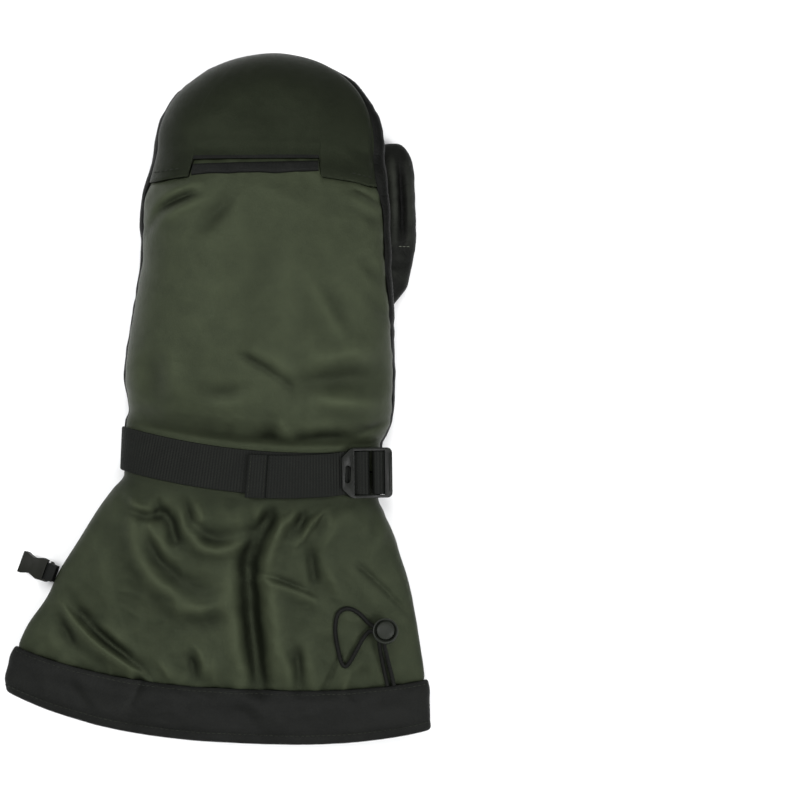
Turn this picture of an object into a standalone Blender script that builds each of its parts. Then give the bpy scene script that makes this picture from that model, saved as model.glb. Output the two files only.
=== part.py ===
"""Expedition mitten for the left hand, lying palm down on a table.

Lengths are metres and +Z is up. While the pieces are made, the strap line round the wrist
is Y = 0, the fingertips point along +Y and the thumb lies at +X. The last step centres the
finished mitten over the origin.
"""
import collections
import math

import bmesh
import bpy
import numpy as np
from mathutils import Matrix, Vector

# Main sizes
HAND_LENGTH = 0.2403
CUFF_LENGTH = 0.160
HAND_WIDTH = 0.157
WRIST_WIDTH = 0.1496
HEM_WIDTH = 0.248
HAND_HEIGHT = 0.058
WRIST_HEIGHT = 0.038
HEM_HEIGHT = 0.026
TIP_HEIGHT = 0.019

# Cloth and leather
BACK_WALL = 0.005
CAP_WALL = 0.004
PALM_WALL = 0.003
THUMB_WALL = 0.0025
GAUNTLET_WALL = 0.0016
HEM_WALL = 0.0028
HEM_PROUD = 0.0006
HEM_BAND_WIDTH = 0.0315
BINDING_WIDTH = 0.0060
BINDING_THICKNESS = 0.0009
BINDING_DROP = 0.0057
BINDING_SLANT = 0.0043
FOLD_HEIGHT = 0.006
GROUND_ROUNDING = 0.004
GAP = 0.0003
OVERCUT = 0.001

# Thumb, from its open root inside the hand to its tip
THUMB_LENGTH = 0.108
THUMB_WIDTH = 0.044
THUMB_HEIGHT = 0.0215
THUMB_ROOT = 0.0845
THUMB_CENTRE = 0.066
THUMB_SQUARENESS = 0.85
CROTCH = 0.103

# Webbing and hard parts
STRAP_WIDTH = 0.025
STRAP_THICKNESS = 0.0016
STRAP_CLEARANCE = 0.0004
TAIL_LENGTH = 0.0563
TAIL_FOLD = 0.0115
STRAP_STEP = 0.0052
TAIL_STEP = 0.0050
WEBBING_STEP = 0.0042
BEND_STEP = 0.0012
WEBBING_BACK = 0.0007
WEBBING_LEAD = 0.0026
BUCKLE_LENGTH = 0.0305
BUCKLE_RAIL = 0.0017
BUCKLE_CENTRE = 0.0640
BUCKLE_TILT = math.radians(15.0)
BUCKLE_NOSE = 0.62
NOSE_RADIUS = 0.0025
SHOULDER_RADIUS = 0.0045
END_RADIUS = 0.0030
TAB_PLATE = 0.0019
BAR_THICKNESS = 0.0020
BAR_EDGE = 0.0005
STRAP_BAR_X = -0.0016
STRAP_BAR_WIDTH = 0.0030
FIXED_BAR_X = 0.0068
FIXED_BAR_WIDTH = 0.0024
END_BAR_X = 0.0108
TAB_END_X = -0.0078
RIDGE_X = 0.01395
RIDGE_FOOT = 0.0013
RIDGE_TOP = 0.0007
RIDGE_ROOT = 0.0004
RIDGE_HEIGHT = 0.0005
CLIP_LENGTH = 0.0203
CLIP_WIDTH = 0.0130
CLIP_HEIGHT = 0.0062
CLIP_PLACE = 0.0785
CLIP_TURN = math.radians(162.0)
CLIP_DROOP = math.radians(12.0)
CLIP_REACH = 0.0022
CLIP_BAR = 0.0032
CLIP_SLIT = 0.0020
CLIP_MOUTH = 0.0092
CLIP_THROAT = 0.0060
CLIP_STEP = 0.0009
TAB_WIDTH = 0.0098
TAB_THICKNESS = 0.0010
LOCK_X = 0.0795
LOCK_Y = -0.0921
LOCK_DIAMETER = 0.0147
LOCK_HEIGHT = 0.0110
LOCK_TURN = math.radians(-12.0)
LOCK_LEAN = math.radians(9.0)
LOCK_FLOOR = 0.0016
LOCK_FOOT_EDGE = 0.0012
LOCK_RIM_EDGE = 0.0010
LOCK_LIP = 0.0006
BORE_LIP = 0.0004
BUTTON_DIAMETER = 0.0102
BUTTON_TRAVEL = 0.0030
BUTTON_PROUD = 0.0004
BUTTON_RISE = 0.0011
CORD_DIAMETER = 0.0025
CORD_PLAY = 0.0004
CORD_WAY = CORD_DIAMETER + 0.0010
CORD_MOUTH_X = 0.0838
CORD_MOUTH_REACH = 0.0090
CORD_MOUTH_HEIGHT = 0.0026

# The band of the wrist that the strap lies on keeps one section over its whole width.
WRIST_ZONE = STRAP_WIDTH / 2 + BUCKLE_RAIL + 2 * GAP + 0.0005
STRAP_ROOM = STRAP_THICKNESS + STRAP_CLEARANCE + GAP
THUMB_ROOM = THUMB_HEIGHT + 2 * GAP + 0.0015

# Levels inside the buckle, from its underside up
LOWER_LAYER = STRAP_THICKNESS / 2
BAR_BOTTOM = STRAP_THICKNESS + GAP
BAR_TOP = BAR_BOTTOM + BAR_THICKNESS
UPPER_LAYER = 1.5 * STRAP_THICKNESS + GAP
TAB_BOTTOM = 2 * STRAP_THICKNESS + 3 * GAP
TAB_TOP = TAB_BOTTOM + TAB_PLATE

# Angles round the wrist's section, in radians from the thumb's side: where the strap and the
# buckle's webbing meet under the wrist, where the strap runs in under the buckle's tab, where
# the free end's route stops, and where the buckle's webbing turns under the wrist
STRAP_END_ANGLE = 0.95
STRAP_SPLIT = 0.006
TAB_ANGLE = 0.98
TAIL_ANGLE = 1.62
WEBBING_ANGLE = 0.04

# The free end sags towards the cuff by this share of the strap's width.
TAIL_DROP = 0.10

# Rows run from the hem to the start of the fingertips' dome. "at" is a share of the length
# of its part, left and right are shares of half that part's width, heights are shares of
# that part's height.
Section = collections.namedtuple("Section", "part at left right crown seam_left seam_right")
SECTIONS = (
    Section("hem", -1.000, 1.125, 0.865, 0.90, 0.42, 0.42),
    Section("hem", -0.940, 1.138, 0.863, 1.00, 0.44, 0.44),
    Section("hem", -0.870, 1.120, 0.853, 1.02, 0.44, 0.44),
    Section("hem", -0.800, 1.093, 0.842, 0.96, 0.42, 0.42),
    Section("hem", -0.720, 1.057, 0.824, 1.02, 0.44, 0.46),
    Section("hem", -0.580, 0.960, 0.790, 1.14, 0.48, 0.50),
    Section("hem", -0.435, 0.890, 0.751, 1.26, 0.52, 0.56),
    Section("hem", -0.290, 0.793, 0.692, 1.38, 0.56, 0.60),
    Section("hem", -0.210, 0.730, 0.655, 1.44, 0.58, 0.62),
    Section("hem", -0.145, 0.668, 0.612, 1.46, 0.58, 0.62),
    Section("wrist", -1.000, 1.027, 0.973, 1.00, 0.42, 0.42),
    Section("wrist", 1.000, 1.027, 0.973, 1.00, 0.42, 0.42),
    Section("hand", 0.092, 0.957, 0.966, 0.76, 0.30, 0.30),
    Section("hand", 0.125, 0.967, 0.996, 0.86, 0.33, 0.34),
    Section("hand", 0.208, 0.994, 1.003, 0.95, 0.35, 0.38),
    Section("hand", 0.333, 0.961, 0.980, 1.00, 0.35, 0.48),
    Section("hand", 0.416, 0.927, 0.965, 1.00, 0.35, 0.58),
    Section("hand", 0.500, 0.901, 0.935, 1.00, 0.34, 0.64),
    Section("hand", 0.624, 0.913, 0.911, 0.96, 0.33, 0.66),
    Section("hand", 0.707, 0.861, 0.884, 0.90, 0.31, 0.64),
    Section("hand", 0.768, 0.832, 0.856, 0.84, 0.30, 0.60),
)
PART_SIZES = {
    "hem": (CUFF_LENGTH, HEM_WIDTH / 2, HEM_HEIGHT),
    "wrist": (WRIST_ZONE, WRIST_WIDTH / 2, WRIST_HEIGHT),
    "hand": (HAND_LENGTH, HAND_WIDTH / 2, HAND_HEIGHT),
}
DOME_START = SECTIONS[-1].at * HAND_LENGTH
TOP_ROUNDNESS = 2.3
DOME_BLUNTNESS = 0.7
DOME_DRIFT = 0.03 * HAND_WIDTH
FLOOR_FLATNESS = 1.3
HEM_BOW = 0.102
HEM_BOW_CENTRE = 0.15
HEM_BOW_POWER = 2.5
HEM_BOW_START = 0.08
HEM_BOW_END = 0.5
FOLD_FADE = 0.013
DRIFT_REACH = 0.055

# The underside rises beside the strap and round the thumb, over shares of their widths.
STRAP_RISE = 0.4
THUMB_RISE_START = 0.95
THUMB_RISE_END = 0.55
THUMB_RISE = 0.14

# The strap climbs a little towards the little finger: its middle line, as shares of the
# strap's width, is start + slope * side + curve * side ** 2.
StrapLine = collections.namedtuple("StrapLine", "start slope curve")
STRAP_ON_TOP = StrapLine(-0.076, -0.150, 0.266)
STRAP_BELOW = StrapLine(0.190, -0.150, 0.0)

# How far the leather of the palm comes up over the sides, as angles round the section
SeamRow = collections.namedtuple("SeamRow", "at right left")
SIDE_SEAMS = (
    SeamRow(0.00, 0.04, 0.04),
    SeamRow(0.25, 0.05, 0.05),
    SeamRow(0.45, 0.24, 0.08),
    SeamRow(0.62, 0.30, 0.16),
    SeamRow(0.72, 0.46, 0.24),
    SeamRow(0.80, 0.42, 0.20),
    SeamRow(1.00, 0.10, 0.10),
)

# Lower edge of the fingertip cap with the notch of the pocket, across and along the hand
EdgeRow = collections.namedtuple("EdgeRow", "side at")
CAP_EDGE = (
    EdgeRow(-1.000, 0.676),
    EdgeRow(-0.640, 0.690),
    EdgeRow(-0.628, 0.732),
    EdgeRow(0.448, 0.746),
    EdgeRow(0.460, 0.701),
    EdgeRow(1.000, 0.684),
)

# The back panel's tongue is narrower than the notch by this share on each side.
NOTCH_CLEARANCE = 3 * GAP / HAND_WIDTH * 2

# Folds run between two points, given as shares of the half width and the length of the
# cuff or hand. Widths are shares of the half width and heights are shares of FOLD_HEIGHT.
Fold = collections.namedtuple("Fold", "part x1 y1 x2 y2 width height")
FOLDS = (
    Fold("hand", 0.98, 0.205, 0.36, 0.192, 0.085, -1.15),
    Fold("hand", 0.92, 0.270, 0.46, 0.262, 0.120, 0.55),
    Fold("hand", 0.74, 0.115, 0.90, 0.125, 0.080, 0.50),
    Fold("hand", -0.13, 0.275, 0.22, 0.215, 0.075, -0.45),
    Fold("hand", -0.86, 0.200, -0.70, 0.225, 0.090, -0.60),
    Fold("hand", -0.30, 0.175, -0.10, 0.185, 0.080, -0.35),
    Fold("hand", 0.02, 0.105, 0.20, 0.110, 0.070, -0.55),
    Fold("hand", 0.34, 0.105, 0.62, 0.110, 0.070, -0.50),
    Fold("hand", -0.62, 0.115, -0.42, 0.150, 0.080, 0.35),
    Fold("hand", 0.28, 0.490, 0.66, 0.290, 0.150, 0.35),
    Fold("hand", -0.92, 0.570, -0.50, 0.655, 0.080, -0.60),
    Fold("hand", -0.90, 0.620, -0.62, 0.672, 0.060, 0.35),
    Fold("hand", -0.47, 0.610, -0.26, 0.665, 0.090, -0.25),
    Fold("hand", 0.66, 0.640, 0.90, 0.680, 0.080, -0.40),
    Fold("hem", 0.18, -0.150, 0.02, -0.330, 0.095, -0.95),
    Fold("hem", 0.00, -0.330, 0.07, -0.760, 0.105, -1.15),
    Fold("hem", 0.22, -0.280, 0.22, -0.620, 0.095, 0.70),
    Fold("hem", 0.41, -0.160, 0.25, -0.250, 0.085, 0.65),
    Fold("hem", 0.45, -0.220, 0.50, -0.420, 0.080, -0.45),
    Fold("hem", -0.58, -0.190, -0.38, -0.540, 0.090, 0.60),
    Fold("hem", -0.46, -0.190, -0.36, -0.300, 0.080, -0.45),
    Fold("hem", -0.31, -0.190, -0.27, -0.320, 0.080, 0.40),
    Fold("hem", -0.27, -0.330, -0.13, -0.365, 0.080, 0.35),
    Fold("hem", -0.16, -0.180, -0.13, -0.270, 0.080, -0.45),
    Fold("hem", -0.95, -0.520, -0.49, -0.780, 0.080, -0.80),
    Fold("hem", -0.80, -0.500, -0.40, -0.720, 0.080, 0.45),
    Fold("hem", -0.50, -0.780, -0.44, -0.950, 0.080, -0.55),
    Fold("hem", 0.05, -0.375, 0.33, -0.420, 0.080, -0.25),
    Fold("hem", 0.62, -0.415, 0.80, -0.540, 0.070, -0.60),
    Fold("hem", 0.40, -0.640, 0.37, -0.840, 0.055, -0.50),
    Fold("hem", 0.52, -0.620, 0.48, -0.880, 0.070, 0.35),
    Fold("hem", -0.22, -0.700, -0.19, -0.850, 0.055, -0.45),
)

# Rows of the thumb: places and widths are shares of the thumb's own length, width, height
ThumbRow = collections.namedtuple("ThumbRow", "at shift width height bottom")
THUMB_ROWS = (
    ThumbRow(0.00, -0.26, 0.66, 0.76, 0.26),
    ThumbRow(0.12, -0.10, 0.84, 0.82, 0.16),
    ThumbRow(0.24, 0.00, 0.96, 0.98, 0.02),
    ThumbRow(0.48, 0.00, 1.00, 1.00, 0.02),
    ThumbRow(0.72, -0.01, 0.96, 0.98, 0.02),
    ThumbRow(0.80, -0.01, 0.92, 0.96, 0.02),
)
THUMB_DOME_START = THUMB_ROWS[-1].at
THUMB_TIP_SHIFT = 0.10

# Slot in the buckle's tab: places along the buckle are shares of its length, places across it
# and corner radii are shares of the strap's width.
SlotCorner = collections.namedtuple("SlotCorner", "along across radius")
TAB_SLOT = (
    SlotCorner(-0.446, -0.200, 0.040),
    SlotCorner(-0.341, -0.248, 0.056),
    SlotCorner(-0.321, 0.160, 0.056),
    SlotCorner(-0.420, 0.184, 0.040),
)

# Half of the clip's outline, as shares of its length and of half its width
ClipRow = collections.namedtuple("ClipRow", "along across")
CLIP_PLAN = (
    ClipRow(0.00, 0.62),
    ClipRow(0.12, 0.95),
    ClipRow(0.42, 1.00),
    ClipRow(0.55, 0.84),
    ClipRow(0.66, 0.74),
    ClipRow(0.78, 0.82),
    ClipRow(0.90, 0.98),
    ClipRow(1.00, 0.98),
)
CLIP_STEP_START = 0.30
CLIP_STEP_END = 0.48
CLIP_SOCKET_START = 0.50
CLIP_WINDOW_START = 0.52
CLIP_WINDOW_END = 0.66
CLIP_THINNED = 0.30
CLIP_WINDOW_SHARE = 0.20

# The draw cord's route, chosen by hand, in metres from the middle of the strap
CORD_ROUTE = (
    (0.0820, -0.1233, 0.0226), (0.0802, -0.1165, 0.0234), (0.0782, -0.1085, 0.0256),
    (0.0769, -0.1025, 0.0286), (0.0764, -0.0990, 0.0304), (0.0756, -0.0941, 0.0296),
    (0.0714, -0.0914, 0.0292), (0.0690, -0.0928, 0.0289), (0.0659, -0.0973, 0.0289),
    (0.0619, -0.1056, 0.0284), (0.0592, -0.1106, 0.0277), (0.0570, -0.1128, 0.0273),
    (0.0546, -0.1102, 0.0271), (0.0526, -0.1036, 0.0270), (0.0509, -0.0960, 0.0290),
    (0.0504, -0.0890, 0.0303), (0.0516, -0.0822, 0.0307), (0.0558, -0.0790, 0.0304),
    (0.0606, -0.0796, 0.0297), (0.0654, -0.0828, 0.0290), (0.0688, -0.0863, 0.0288),
    (0.0720, -0.0886, 0.0288), (0.0781, -0.0925, 0.0294), (0.0792, -0.0996, 0.0304),
    (0.0802, -0.1035, 0.0284), (0.0818, -0.1095, 0.0252), (0.0840, -0.1168, 0.0230),
    (0.0856, -0.1230, 0.0224),
)
CORD_STEPS_PER_STRETCH = 2
CORD_PIECES = ("draw_cord", "cord_lock_body", "cord_lock_button")

# Fineness of the panels; rows stand closer together beside the strap
HAND_ROWS = 15
CAP_ROWS = 9
CUFF_ROWS = 14
HEM_ROWS = 5
BACK_COLUMNS = 24
PALM_COLUMNS = 18
CUFF_COLUMNS_ABOVE = 31
CUFF_COLUMNS_BELOW = 12
BINDING_COLUMNS = 13
THUMB_ROWS_STRAIGHT = 9
THUMB_ROWS_DOME = 5
THUMB_COLUMNS = 16
LOCK_SIDES = 24
ROW_SPREAD = 1.15
EVEN_ROWS_END = 0.62
CAP_EVEN_START = 0.785
CORNER_ROOM = 0.012
SEAM_SQUEEZE = 0.9
LIFT_START = 0.50
LIFT_END = 0.68

# The palm's columns stand closer together where the leather rises over the thumb.
Bunch = collections.namedtuple("Bunch", "even close")
PALM_BUNCH = Bunch((0.0, 0.40, 0.76, 1.0), (0.0, 0.54, 0.68, 1.0))


def clear_scene():
    for item in list(bpy.data.objects):
        bpy.data.objects.remove(item, do_unlink=True)


def material(name, colour, roughness, metallic=0.0):
    made = bpy.data.materials.new(name)
    made.use_nodes = True
    shader = made.node_tree.nodes["Principled BSDF"]
    shader.inputs["Base Color"].default_value = (*colour, 1.0)
    shader.inputs["Roughness"].default_value = roughness
    shader.inputs["Metallic"].default_value = metallic
    return made


def add_object(name, mesh, finish, matrix=Matrix.Identity(4)):
    made = bpy.data.objects.new(name, mesh)
    made.data.materials.append(finish)
    made.matrix_world = matrix
    bpy.context.collection.objects.link(made)
    return made


def smoothstep(low, high, value):
    t = np.clip((value - low) / (high - low), 0.0, 1.0)
    return t * t * (3.0 - 2.0 * t)


def read_column(places, values, at):
    """Smooth reading of one column of a table that never overshoots its rows."""
    places = np.asarray(places, dtype=float)
    values = np.asarray(values, dtype=float)
    rises = np.diff(values) / np.diff(places)
    slopes = np.zeros(len(values))
    same_way = rises[:-1] * rises[1:] > 0.0
    both = np.where(same_way, rises[:-1] + rises[1:], 1.0)
    slopes[1:-1] = np.where(same_way, 2.0 * rises[:-1] * rises[1:] / both, 0.0)
    row = np.clip(np.searchsorted(places, at) - 1, 0, len(places) - 2)
    span = places[row + 1] - places[row]
    t = np.clip((at - places[row]) / span, 0.0, 1.0)
    start = (2 * t**3 - 3 * t**2 + 1) * values[row] + (t**3 - 2 * t**2 + t) * span * slopes[row]
    end = (3 * t**2 - 2 * t**3) * values[row + 1] + (t**3 - t**2) * span * slopes[row + 1]
    return start + end


def section_column(name, at):
    places = []
    values = []
    for row in SECTIONS:
        length, half_width, height = PART_SIZES[row.part]
        places.append(row.at * length)
        unit = half_width if name in ("left", "right") else height
        values.append(getattr(row, name) * unit)
    return read_column(places, values, at)


def signed_power(value, power):
    return np.sign(value) * np.abs(value) ** power


def side_of(u):
    """Place across the section, from -1 at the little finger to 1 at the thumb."""
    return signed_power(np.cos(u), 2.0 / TOP_ROUNDNESS)


def angle_of(side):
    return np.arccos(signed_power(side, TOP_ROUNDNESS / 2.0))


def fold_height(x, y):
    """Height of the cloth's folds over the smooth form."""
    total = np.zeros(np.broadcast(x, y).shape)
    for fold in FOLDS:
        length, half_width, _ = PART_SIZES[fold.part]
        start_x, start_y = fold.x1 * half_width, fold.y1 * length
        run_x, run_y = fold.x2 * half_width - start_x, fold.y2 * length - start_y
        share = ((x - start_x) * run_x + (y - start_y) * run_y) / (run_x**2 + run_y**2)
        share = np.clip(share, 0.0, 1.0)
        away = np.hypot(x - start_x - share * run_x, y - start_y - share * run_y)
        total += fold.height * FOLD_HEIGHT * np.exp(-((away / (fold.width * half_width)) ** 2))
    return total


def raised_floor(x, y, v):
    """Height that the underside keeps free for the strap and for the thumb."""
    strap = STRAP_ROOM * (1.0 - smoothstep(WRIST_ZONE, WRIST_ZONE + STRAP_RISE * STRAP_WIDTH, np.abs(v)))
    across = smoothstep(THUMB_CENTRE - THUMB_RISE_START * THUMB_WIDTH,
                        THUMB_CENTRE - THUMB_RISE_END * THUMB_WIDTH, x)
    rise = THUMB_RISE * THUMB_WIDTH
    thumb_tip = THUMB_ROOT + THUMB_LENGTH
    along = smoothstep(CROTCH - rise, CROTCH + rise, y) * (
        1.0 - smoothstep(thumb_tip + 0.5 * rise, thumb_tip + 3.5 * rise, y))
    return np.maximum(strap, THUMB_ROOM * across * along)


def soft_ground(height, softness):
    """Zero below the ground, with a rounded start above it."""
    above = np.maximum(height, 0.0)
    return np.where(above < softness, above**2 / (2 * softness), above - softness / 2)


def glove_form(u, v):
    """Outer form: u runs round the section from the thumb side over the back of the hand."""
    u, v = np.broadcast_arrays(np.asarray(u, dtype=float), np.asarray(v, dtype=float))
    turn = np.clip((v - DOME_START) / (HAND_LENGTH - DOME_START), 0.0, 1.0) * math.pi / 2
    w = np.minimum(v, DOME_START)
    left = section_column("left", w)
    right = section_column("right", w)
    crown = section_column("crown", w)
    seam_left = section_column("seam_left", w)
    seam_right = section_column("seam_right", w)
    narrow = np.maximum(np.cos(turn), 0.0)
    side = side_of(u)
    lift = np.abs(np.sin(u)) ** (2.0 / TOP_ROUNDNESS)
    over = np.sin(u) >= 0.0
    x = (right - left) / 2 * narrow + DOME_DRIFT * (1.0 - narrow) + (right + left) / 2 * narrow * side

    line_top = STRAP_ON_TOP.start + STRAP_ON_TOP.slope * side + STRAP_ON_TOP.curve * side**2
    line_low = STRAP_BELOW.start + STRAP_BELOW.slope * side + STRAP_BELOW.curve * side**2
    near = 1.0 - smoothstep(WRIST_ZONE, WRIST_ZONE + DRIFT_REACH, np.abs(v))
    drift = np.where(over, line_top, line_low) * STRAP_WIDTH * near
    bow_share = smoothstep(HEM_BOW_START, HEM_BOW_END, -v / CUFF_LENGTH)
    bow = 1.0 - HEM_BOW * np.abs(side - HEM_BOW_CENTRE) ** HEM_BOW_POWER * bow_share
    y = np.where(v > DOME_START, DOME_START + (HAND_LENGTH - DOME_START) * np.sin(turn), v * bow) + drift

    seam = seam_left + (seam_right - seam_left) * (side + 1) / 2
    fade = smoothstep(WRIST_ZONE, WRIST_ZONE + FOLD_FADE, np.abs(v)) * np.where(over, lift, 0.0)
    top = seam + (crown - seam) * lift + fold_height(x, y) * fade * narrow
    floor = raised_floor(x, y, v)
    low = floor + soft_ground((seam - floor) * (1.0 - FLOOR_FLATNESS * lift), GROUND_ROUNDING)
    start_of_low = floor + soft_ground(seam - floor, GROUND_ROUNDING)
    low = low + (seam - start_of_low) * (1.0 - np.minimum(lift * FLOOR_FLATNESS, 1.0))
    z = np.where(over, top, low)
    z = TIP_HEIGHT + (z - TIP_HEIGHT) * narrow**DOME_BLUNTNESS
    return np.stack([x, y, z], axis=-1)


def outward(form, u, v):
    """Unit normals of a form, pointing out of it."""
    du, dv = 1e-4, 1e-5
    along_u = form(u + du, v) - form(u - du, v)
    along_v = form(u, v + dv) - form(u, v - dv)
    normal = np.cross(along_v, along_u)
    size = np.linalg.norm(normal, axis=-1, keepdims=True)
    tip = size < 1e-13
    return np.where(tip, np.array([0.0, 1.0, 0.0]), normal / np.where(tip, 1.0, size))


def layer(form, u, v, offset):
    """Points of a form moved outward by an offset, never below the table."""
    points = form(u, v) + outward(form, u, v) * np.asarray(offset)[..., None]
    points[..., 2] = np.maximum(points[..., 2], 0.0)
    return points


def shell(name, outer, inner, finish, ring=False, tip=False):
    """Closed wall between two grids of points. A tip closes its last row to one point."""
    bm = bmesh.new()
    rows, columns = outer.shape[:2]

    def sheet(points):
        grid = []
        for row in range(rows):
            if tip and row == rows - 1:
                grid.append([bm.verts.new(points[row, 0])] * columns)
            else:
                grid.append([bm.verts.new(points[row, column]) for column in range(columns)])
        return grid

    def face(*corners):
        used = list(dict.fromkeys(corners))
        if len(used) > 2:
            bm.faces.new(used)

    top = sheet(outer)
    low = sheet(inner)
    wraps = columns if ring else columns - 1
    for row in range(rows - 1):
        for column in range(wraps):
            after = (column + 1) % columns
            face(top[row][column], top[row][after], top[row + 1][after], top[row + 1][column])
            face(low[row][column], low[row + 1][column], low[row + 1][after], low[row][after])
    ends = [0] if tip else [0, rows - 1]
    for row in ends:
        for column in range(wraps):
            after = (column + 1) % columns
            face(top[row][column], low[row][column], low[row][after], top[row][after])
    if not ring:
        for column in (0, columns - 1):
            for row in range(rows - 1):
                face(top[row][column], top[row + 1][column], low[row + 1][column], low[row][column])
    bmesh.ops.recalc_face_normals(bm, faces=bm.faces)
    mesh = bpy.data.meshes.new(name)
    bm.to_mesh(mesh)
    bm.free()
    mesh.shade_smooth()
    mesh.set_sharp_from_angle(angle=math.radians(40))
    return add_object(name, mesh, finish)


def seam_angle(v, sides):
    """Angle of the side seam on the thumb's side (1) or the little finger's side (-1)."""
    places = [row.at * HAND_LENGTH for row in SIDE_SEAMS]
    name = "right" if sides > 0 else "left"
    rise = read_column(places, [getattr(row, name) for row in SIDE_SEAMS], v)
    return rise if sides > 0 else math.pi - rise


def seam_step(u, v):
    """Angle that opens half the gap at a side seam."""
    speed = np.linalg.norm(glove_form(u + 1e-4, v) - glove_form(u - 1e-4, v), axis=-1) / 2e-4
    return np.minimum(0.5 * GAP / np.maximum(speed, 1e-5), 0.02)


def cap_edge_rows(inset):
    """Sides and places of the cap's lower edge, with the notch narrowed by an inset."""
    middle = (CAP_EDGE[2].side + CAP_EDGE[3].side) / 2
    sides = [CAP_EDGE[0].side]
    for row in CAP_EDGE[1:-1]:
        sides.append(row.side + (inset if row.side < middle else -inset))
    sides.append(CAP_EDGE[-1].side)
    return sides, [row.at * HAND_LENGTH for row in CAP_EDGE]


def top_columns(inset):
    """Columns over the back of the hand, with one on each corner of the notch."""
    sides, _ = cap_edge_rows(inset)
    corners = [float(angle_of(side)) / math.pi for side in sides[1:-1]]
    even = []
    for place in np.linspace(0.0, 1.0, BACK_COLUMNS):
        if min(abs(place - corner) for corner in corners) > CORNER_ROOM:
            even.append(place)
    return np.array(sorted(even + corners))


def cap_edge(side, inset, clearance):
    """Lower edge of the cap, moved along the hand by a clearance."""
    sides, places = cap_edge_rows(inset)
    return np.interp(side, sides, places) + clearance


def lifted(points, v):
    """Top panels sit a gap higher than the leather where their seam runs over the fingertips."""
    points[..., 2] += GAP * smoothstep(LIFT_START * HAND_LENGTH, LIFT_END * HAND_LENGTH, v)
    return points


def squeeze_columns(columns, v):
    """Spread the columns of a top panel between its two seams, row by row."""
    first = seam_angle(v, 1)
    last = seam_angle(v, -1)
    first = first + seam_step(first, v)
    last = last - seam_step(last, v)
    angles = columns[None, :] * math.pi
    near_first = 1.0 - smoothstep(0.0, SEAM_SQUEEZE, angles)
    near_last = smoothstep(math.pi - SEAM_SQUEEZE, math.pi, angles)
    return angles + near_first * first + near_last * (last - math.pi)


def top_panel(name, v, columns, wall, finish, tip=False):
    u = squeeze_columns(columns, v)
    outer = lifted(layer(glove_form, u, v, np.zeros_like(u)), v)
    inner = lifted(layer(glove_form, u, v, np.full_like(u, -wall)), v)
    return shell(name, outer, inner, finish, tip=tip)


def back_rows(edge):
    """Rows of the back panel up to the cap's edge, the same wherever a seam follows them."""
    straight = EVEN_ROWS_END * HAND_LENGTH
    spread = np.linspace(0.0, 1.0, HAND_ROWS) ** ROW_SPREAD
    heights = [GAP / 2, WRIST_ZONE / 2] + list(WRIST_ZONE + (straight - WRIST_ZONE) * spread)
    rows = [np.full_like(edge, height) for height in heights]
    rows += [straight + (edge - straight) * share for share in (0.4, 0.75, 1.0)]
    return rows


def cap_rows(edge):
    """Rows of the cap from its lower edge to the tip."""
    heights = np.linspace(CAP_EVEN_START, 1.0, CAP_ROWS - 1) * HAND_LENGTH
    return [edge, (edge + heights[0]) / 2] + [np.full_like(edge, height) for height in heights]


def back_panel(finish):
    columns = top_columns(NOTCH_CLEARANCE)
    edge = cap_edge(side_of(columns * math.pi), NOTCH_CLEARANCE, -GAP / 2)
    top_panel("back_panel", np.array(back_rows(edge)), columns, BACK_WALL, finish)


def fingertip_cap(finish):
    columns = top_columns(0.0)
    edge = cap_edge(side_of(columns * math.pi), 0.0, GAP / 2)
    top_panel("fingertip_cap", np.array(cap_rows(edge)), columns, CAP_WALL, finish, tip=True)


def pocket_binding(finish):
    """Bound edge of the pocket mouth, laid on the back panel inside the cap's notch."""
    left, right = CAP_EDGE[2], CAP_EDGE[3]
    first = angle_of(right.side - NOTCH_CLEARANCE)
    last = angle_of(left.side + NOTCH_CLEARANCE)
    u = np.linspace(first, last, BINDING_COLUMNS)[None, :]
    middle = left.at * HAND_LENGTH - BINDING_DROP + BINDING_SLANT * (side_of(u) - left.side)
    v = np.concatenate([middle - BINDING_WIDTH / 2, middle + BINDING_WIDTH / 2])
    u = np.repeat(u, 2, axis=0)
    outer = lifted(layer(glove_form, u, v, np.full_like(u, STRAP_CLEARANCE + BINDING_THICKNESS)), v)
    inner = lifted(layer(glove_form, u, v, np.full_like(u, STRAP_CLEARANCE)), v)
    shell("pocket_binding", outer, inner, finish)


def thumb_form(grow):
    """Outer form of the thumb, made larger all round by an amount."""
    def form(u, v):
        u, v = np.broadcast_arrays(np.asarray(u, dtype=float), np.asarray(v, dtype=float))
        turn = np.clip((v - THUMB_DOME_START) / (1.0 - THUMB_DOME_START), 0.0, 1.0) * math.pi / 2
        at = np.minimum(v, THUMB_DOME_START)
        places = [row.at for row in THUMB_ROWS]
        shift, width, height, bottom = (
            read_column(places, [getattr(row, name) for row in THUMB_ROWS], at)
            for name in ("shift", "width", "height", "bottom"))
        narrow = np.maximum(np.cos(turn), 0.0)
        centre_x = THUMB_CENTRE + (shift + THUMB_TIP_SHIFT * (1.0 - narrow)) * THUMB_WIDTH
        centre_z = (bottom + height / 2) * THUMB_HEIGHT
        half_width = width * THUMB_WIDTH / 2 * narrow + grow
        half_height = height * THUMB_HEIGHT / 2 * narrow**DOME_BLUNTNESS + grow
        x = centre_x + half_width * signed_power(np.cos(u), THUMB_SQUARENESS)
        z = centre_z + half_height * signed_power(np.sin(u), THUMB_SQUARENESS)
        dome = THUMB_LENGTH * (1.0 - THUMB_DOME_START)
        y = THUMB_ROOT + THUMB_LENGTH * at + (dome + grow) * np.sin(turn)
        return np.stack([x, y, z], axis=-1)
    return form


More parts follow.
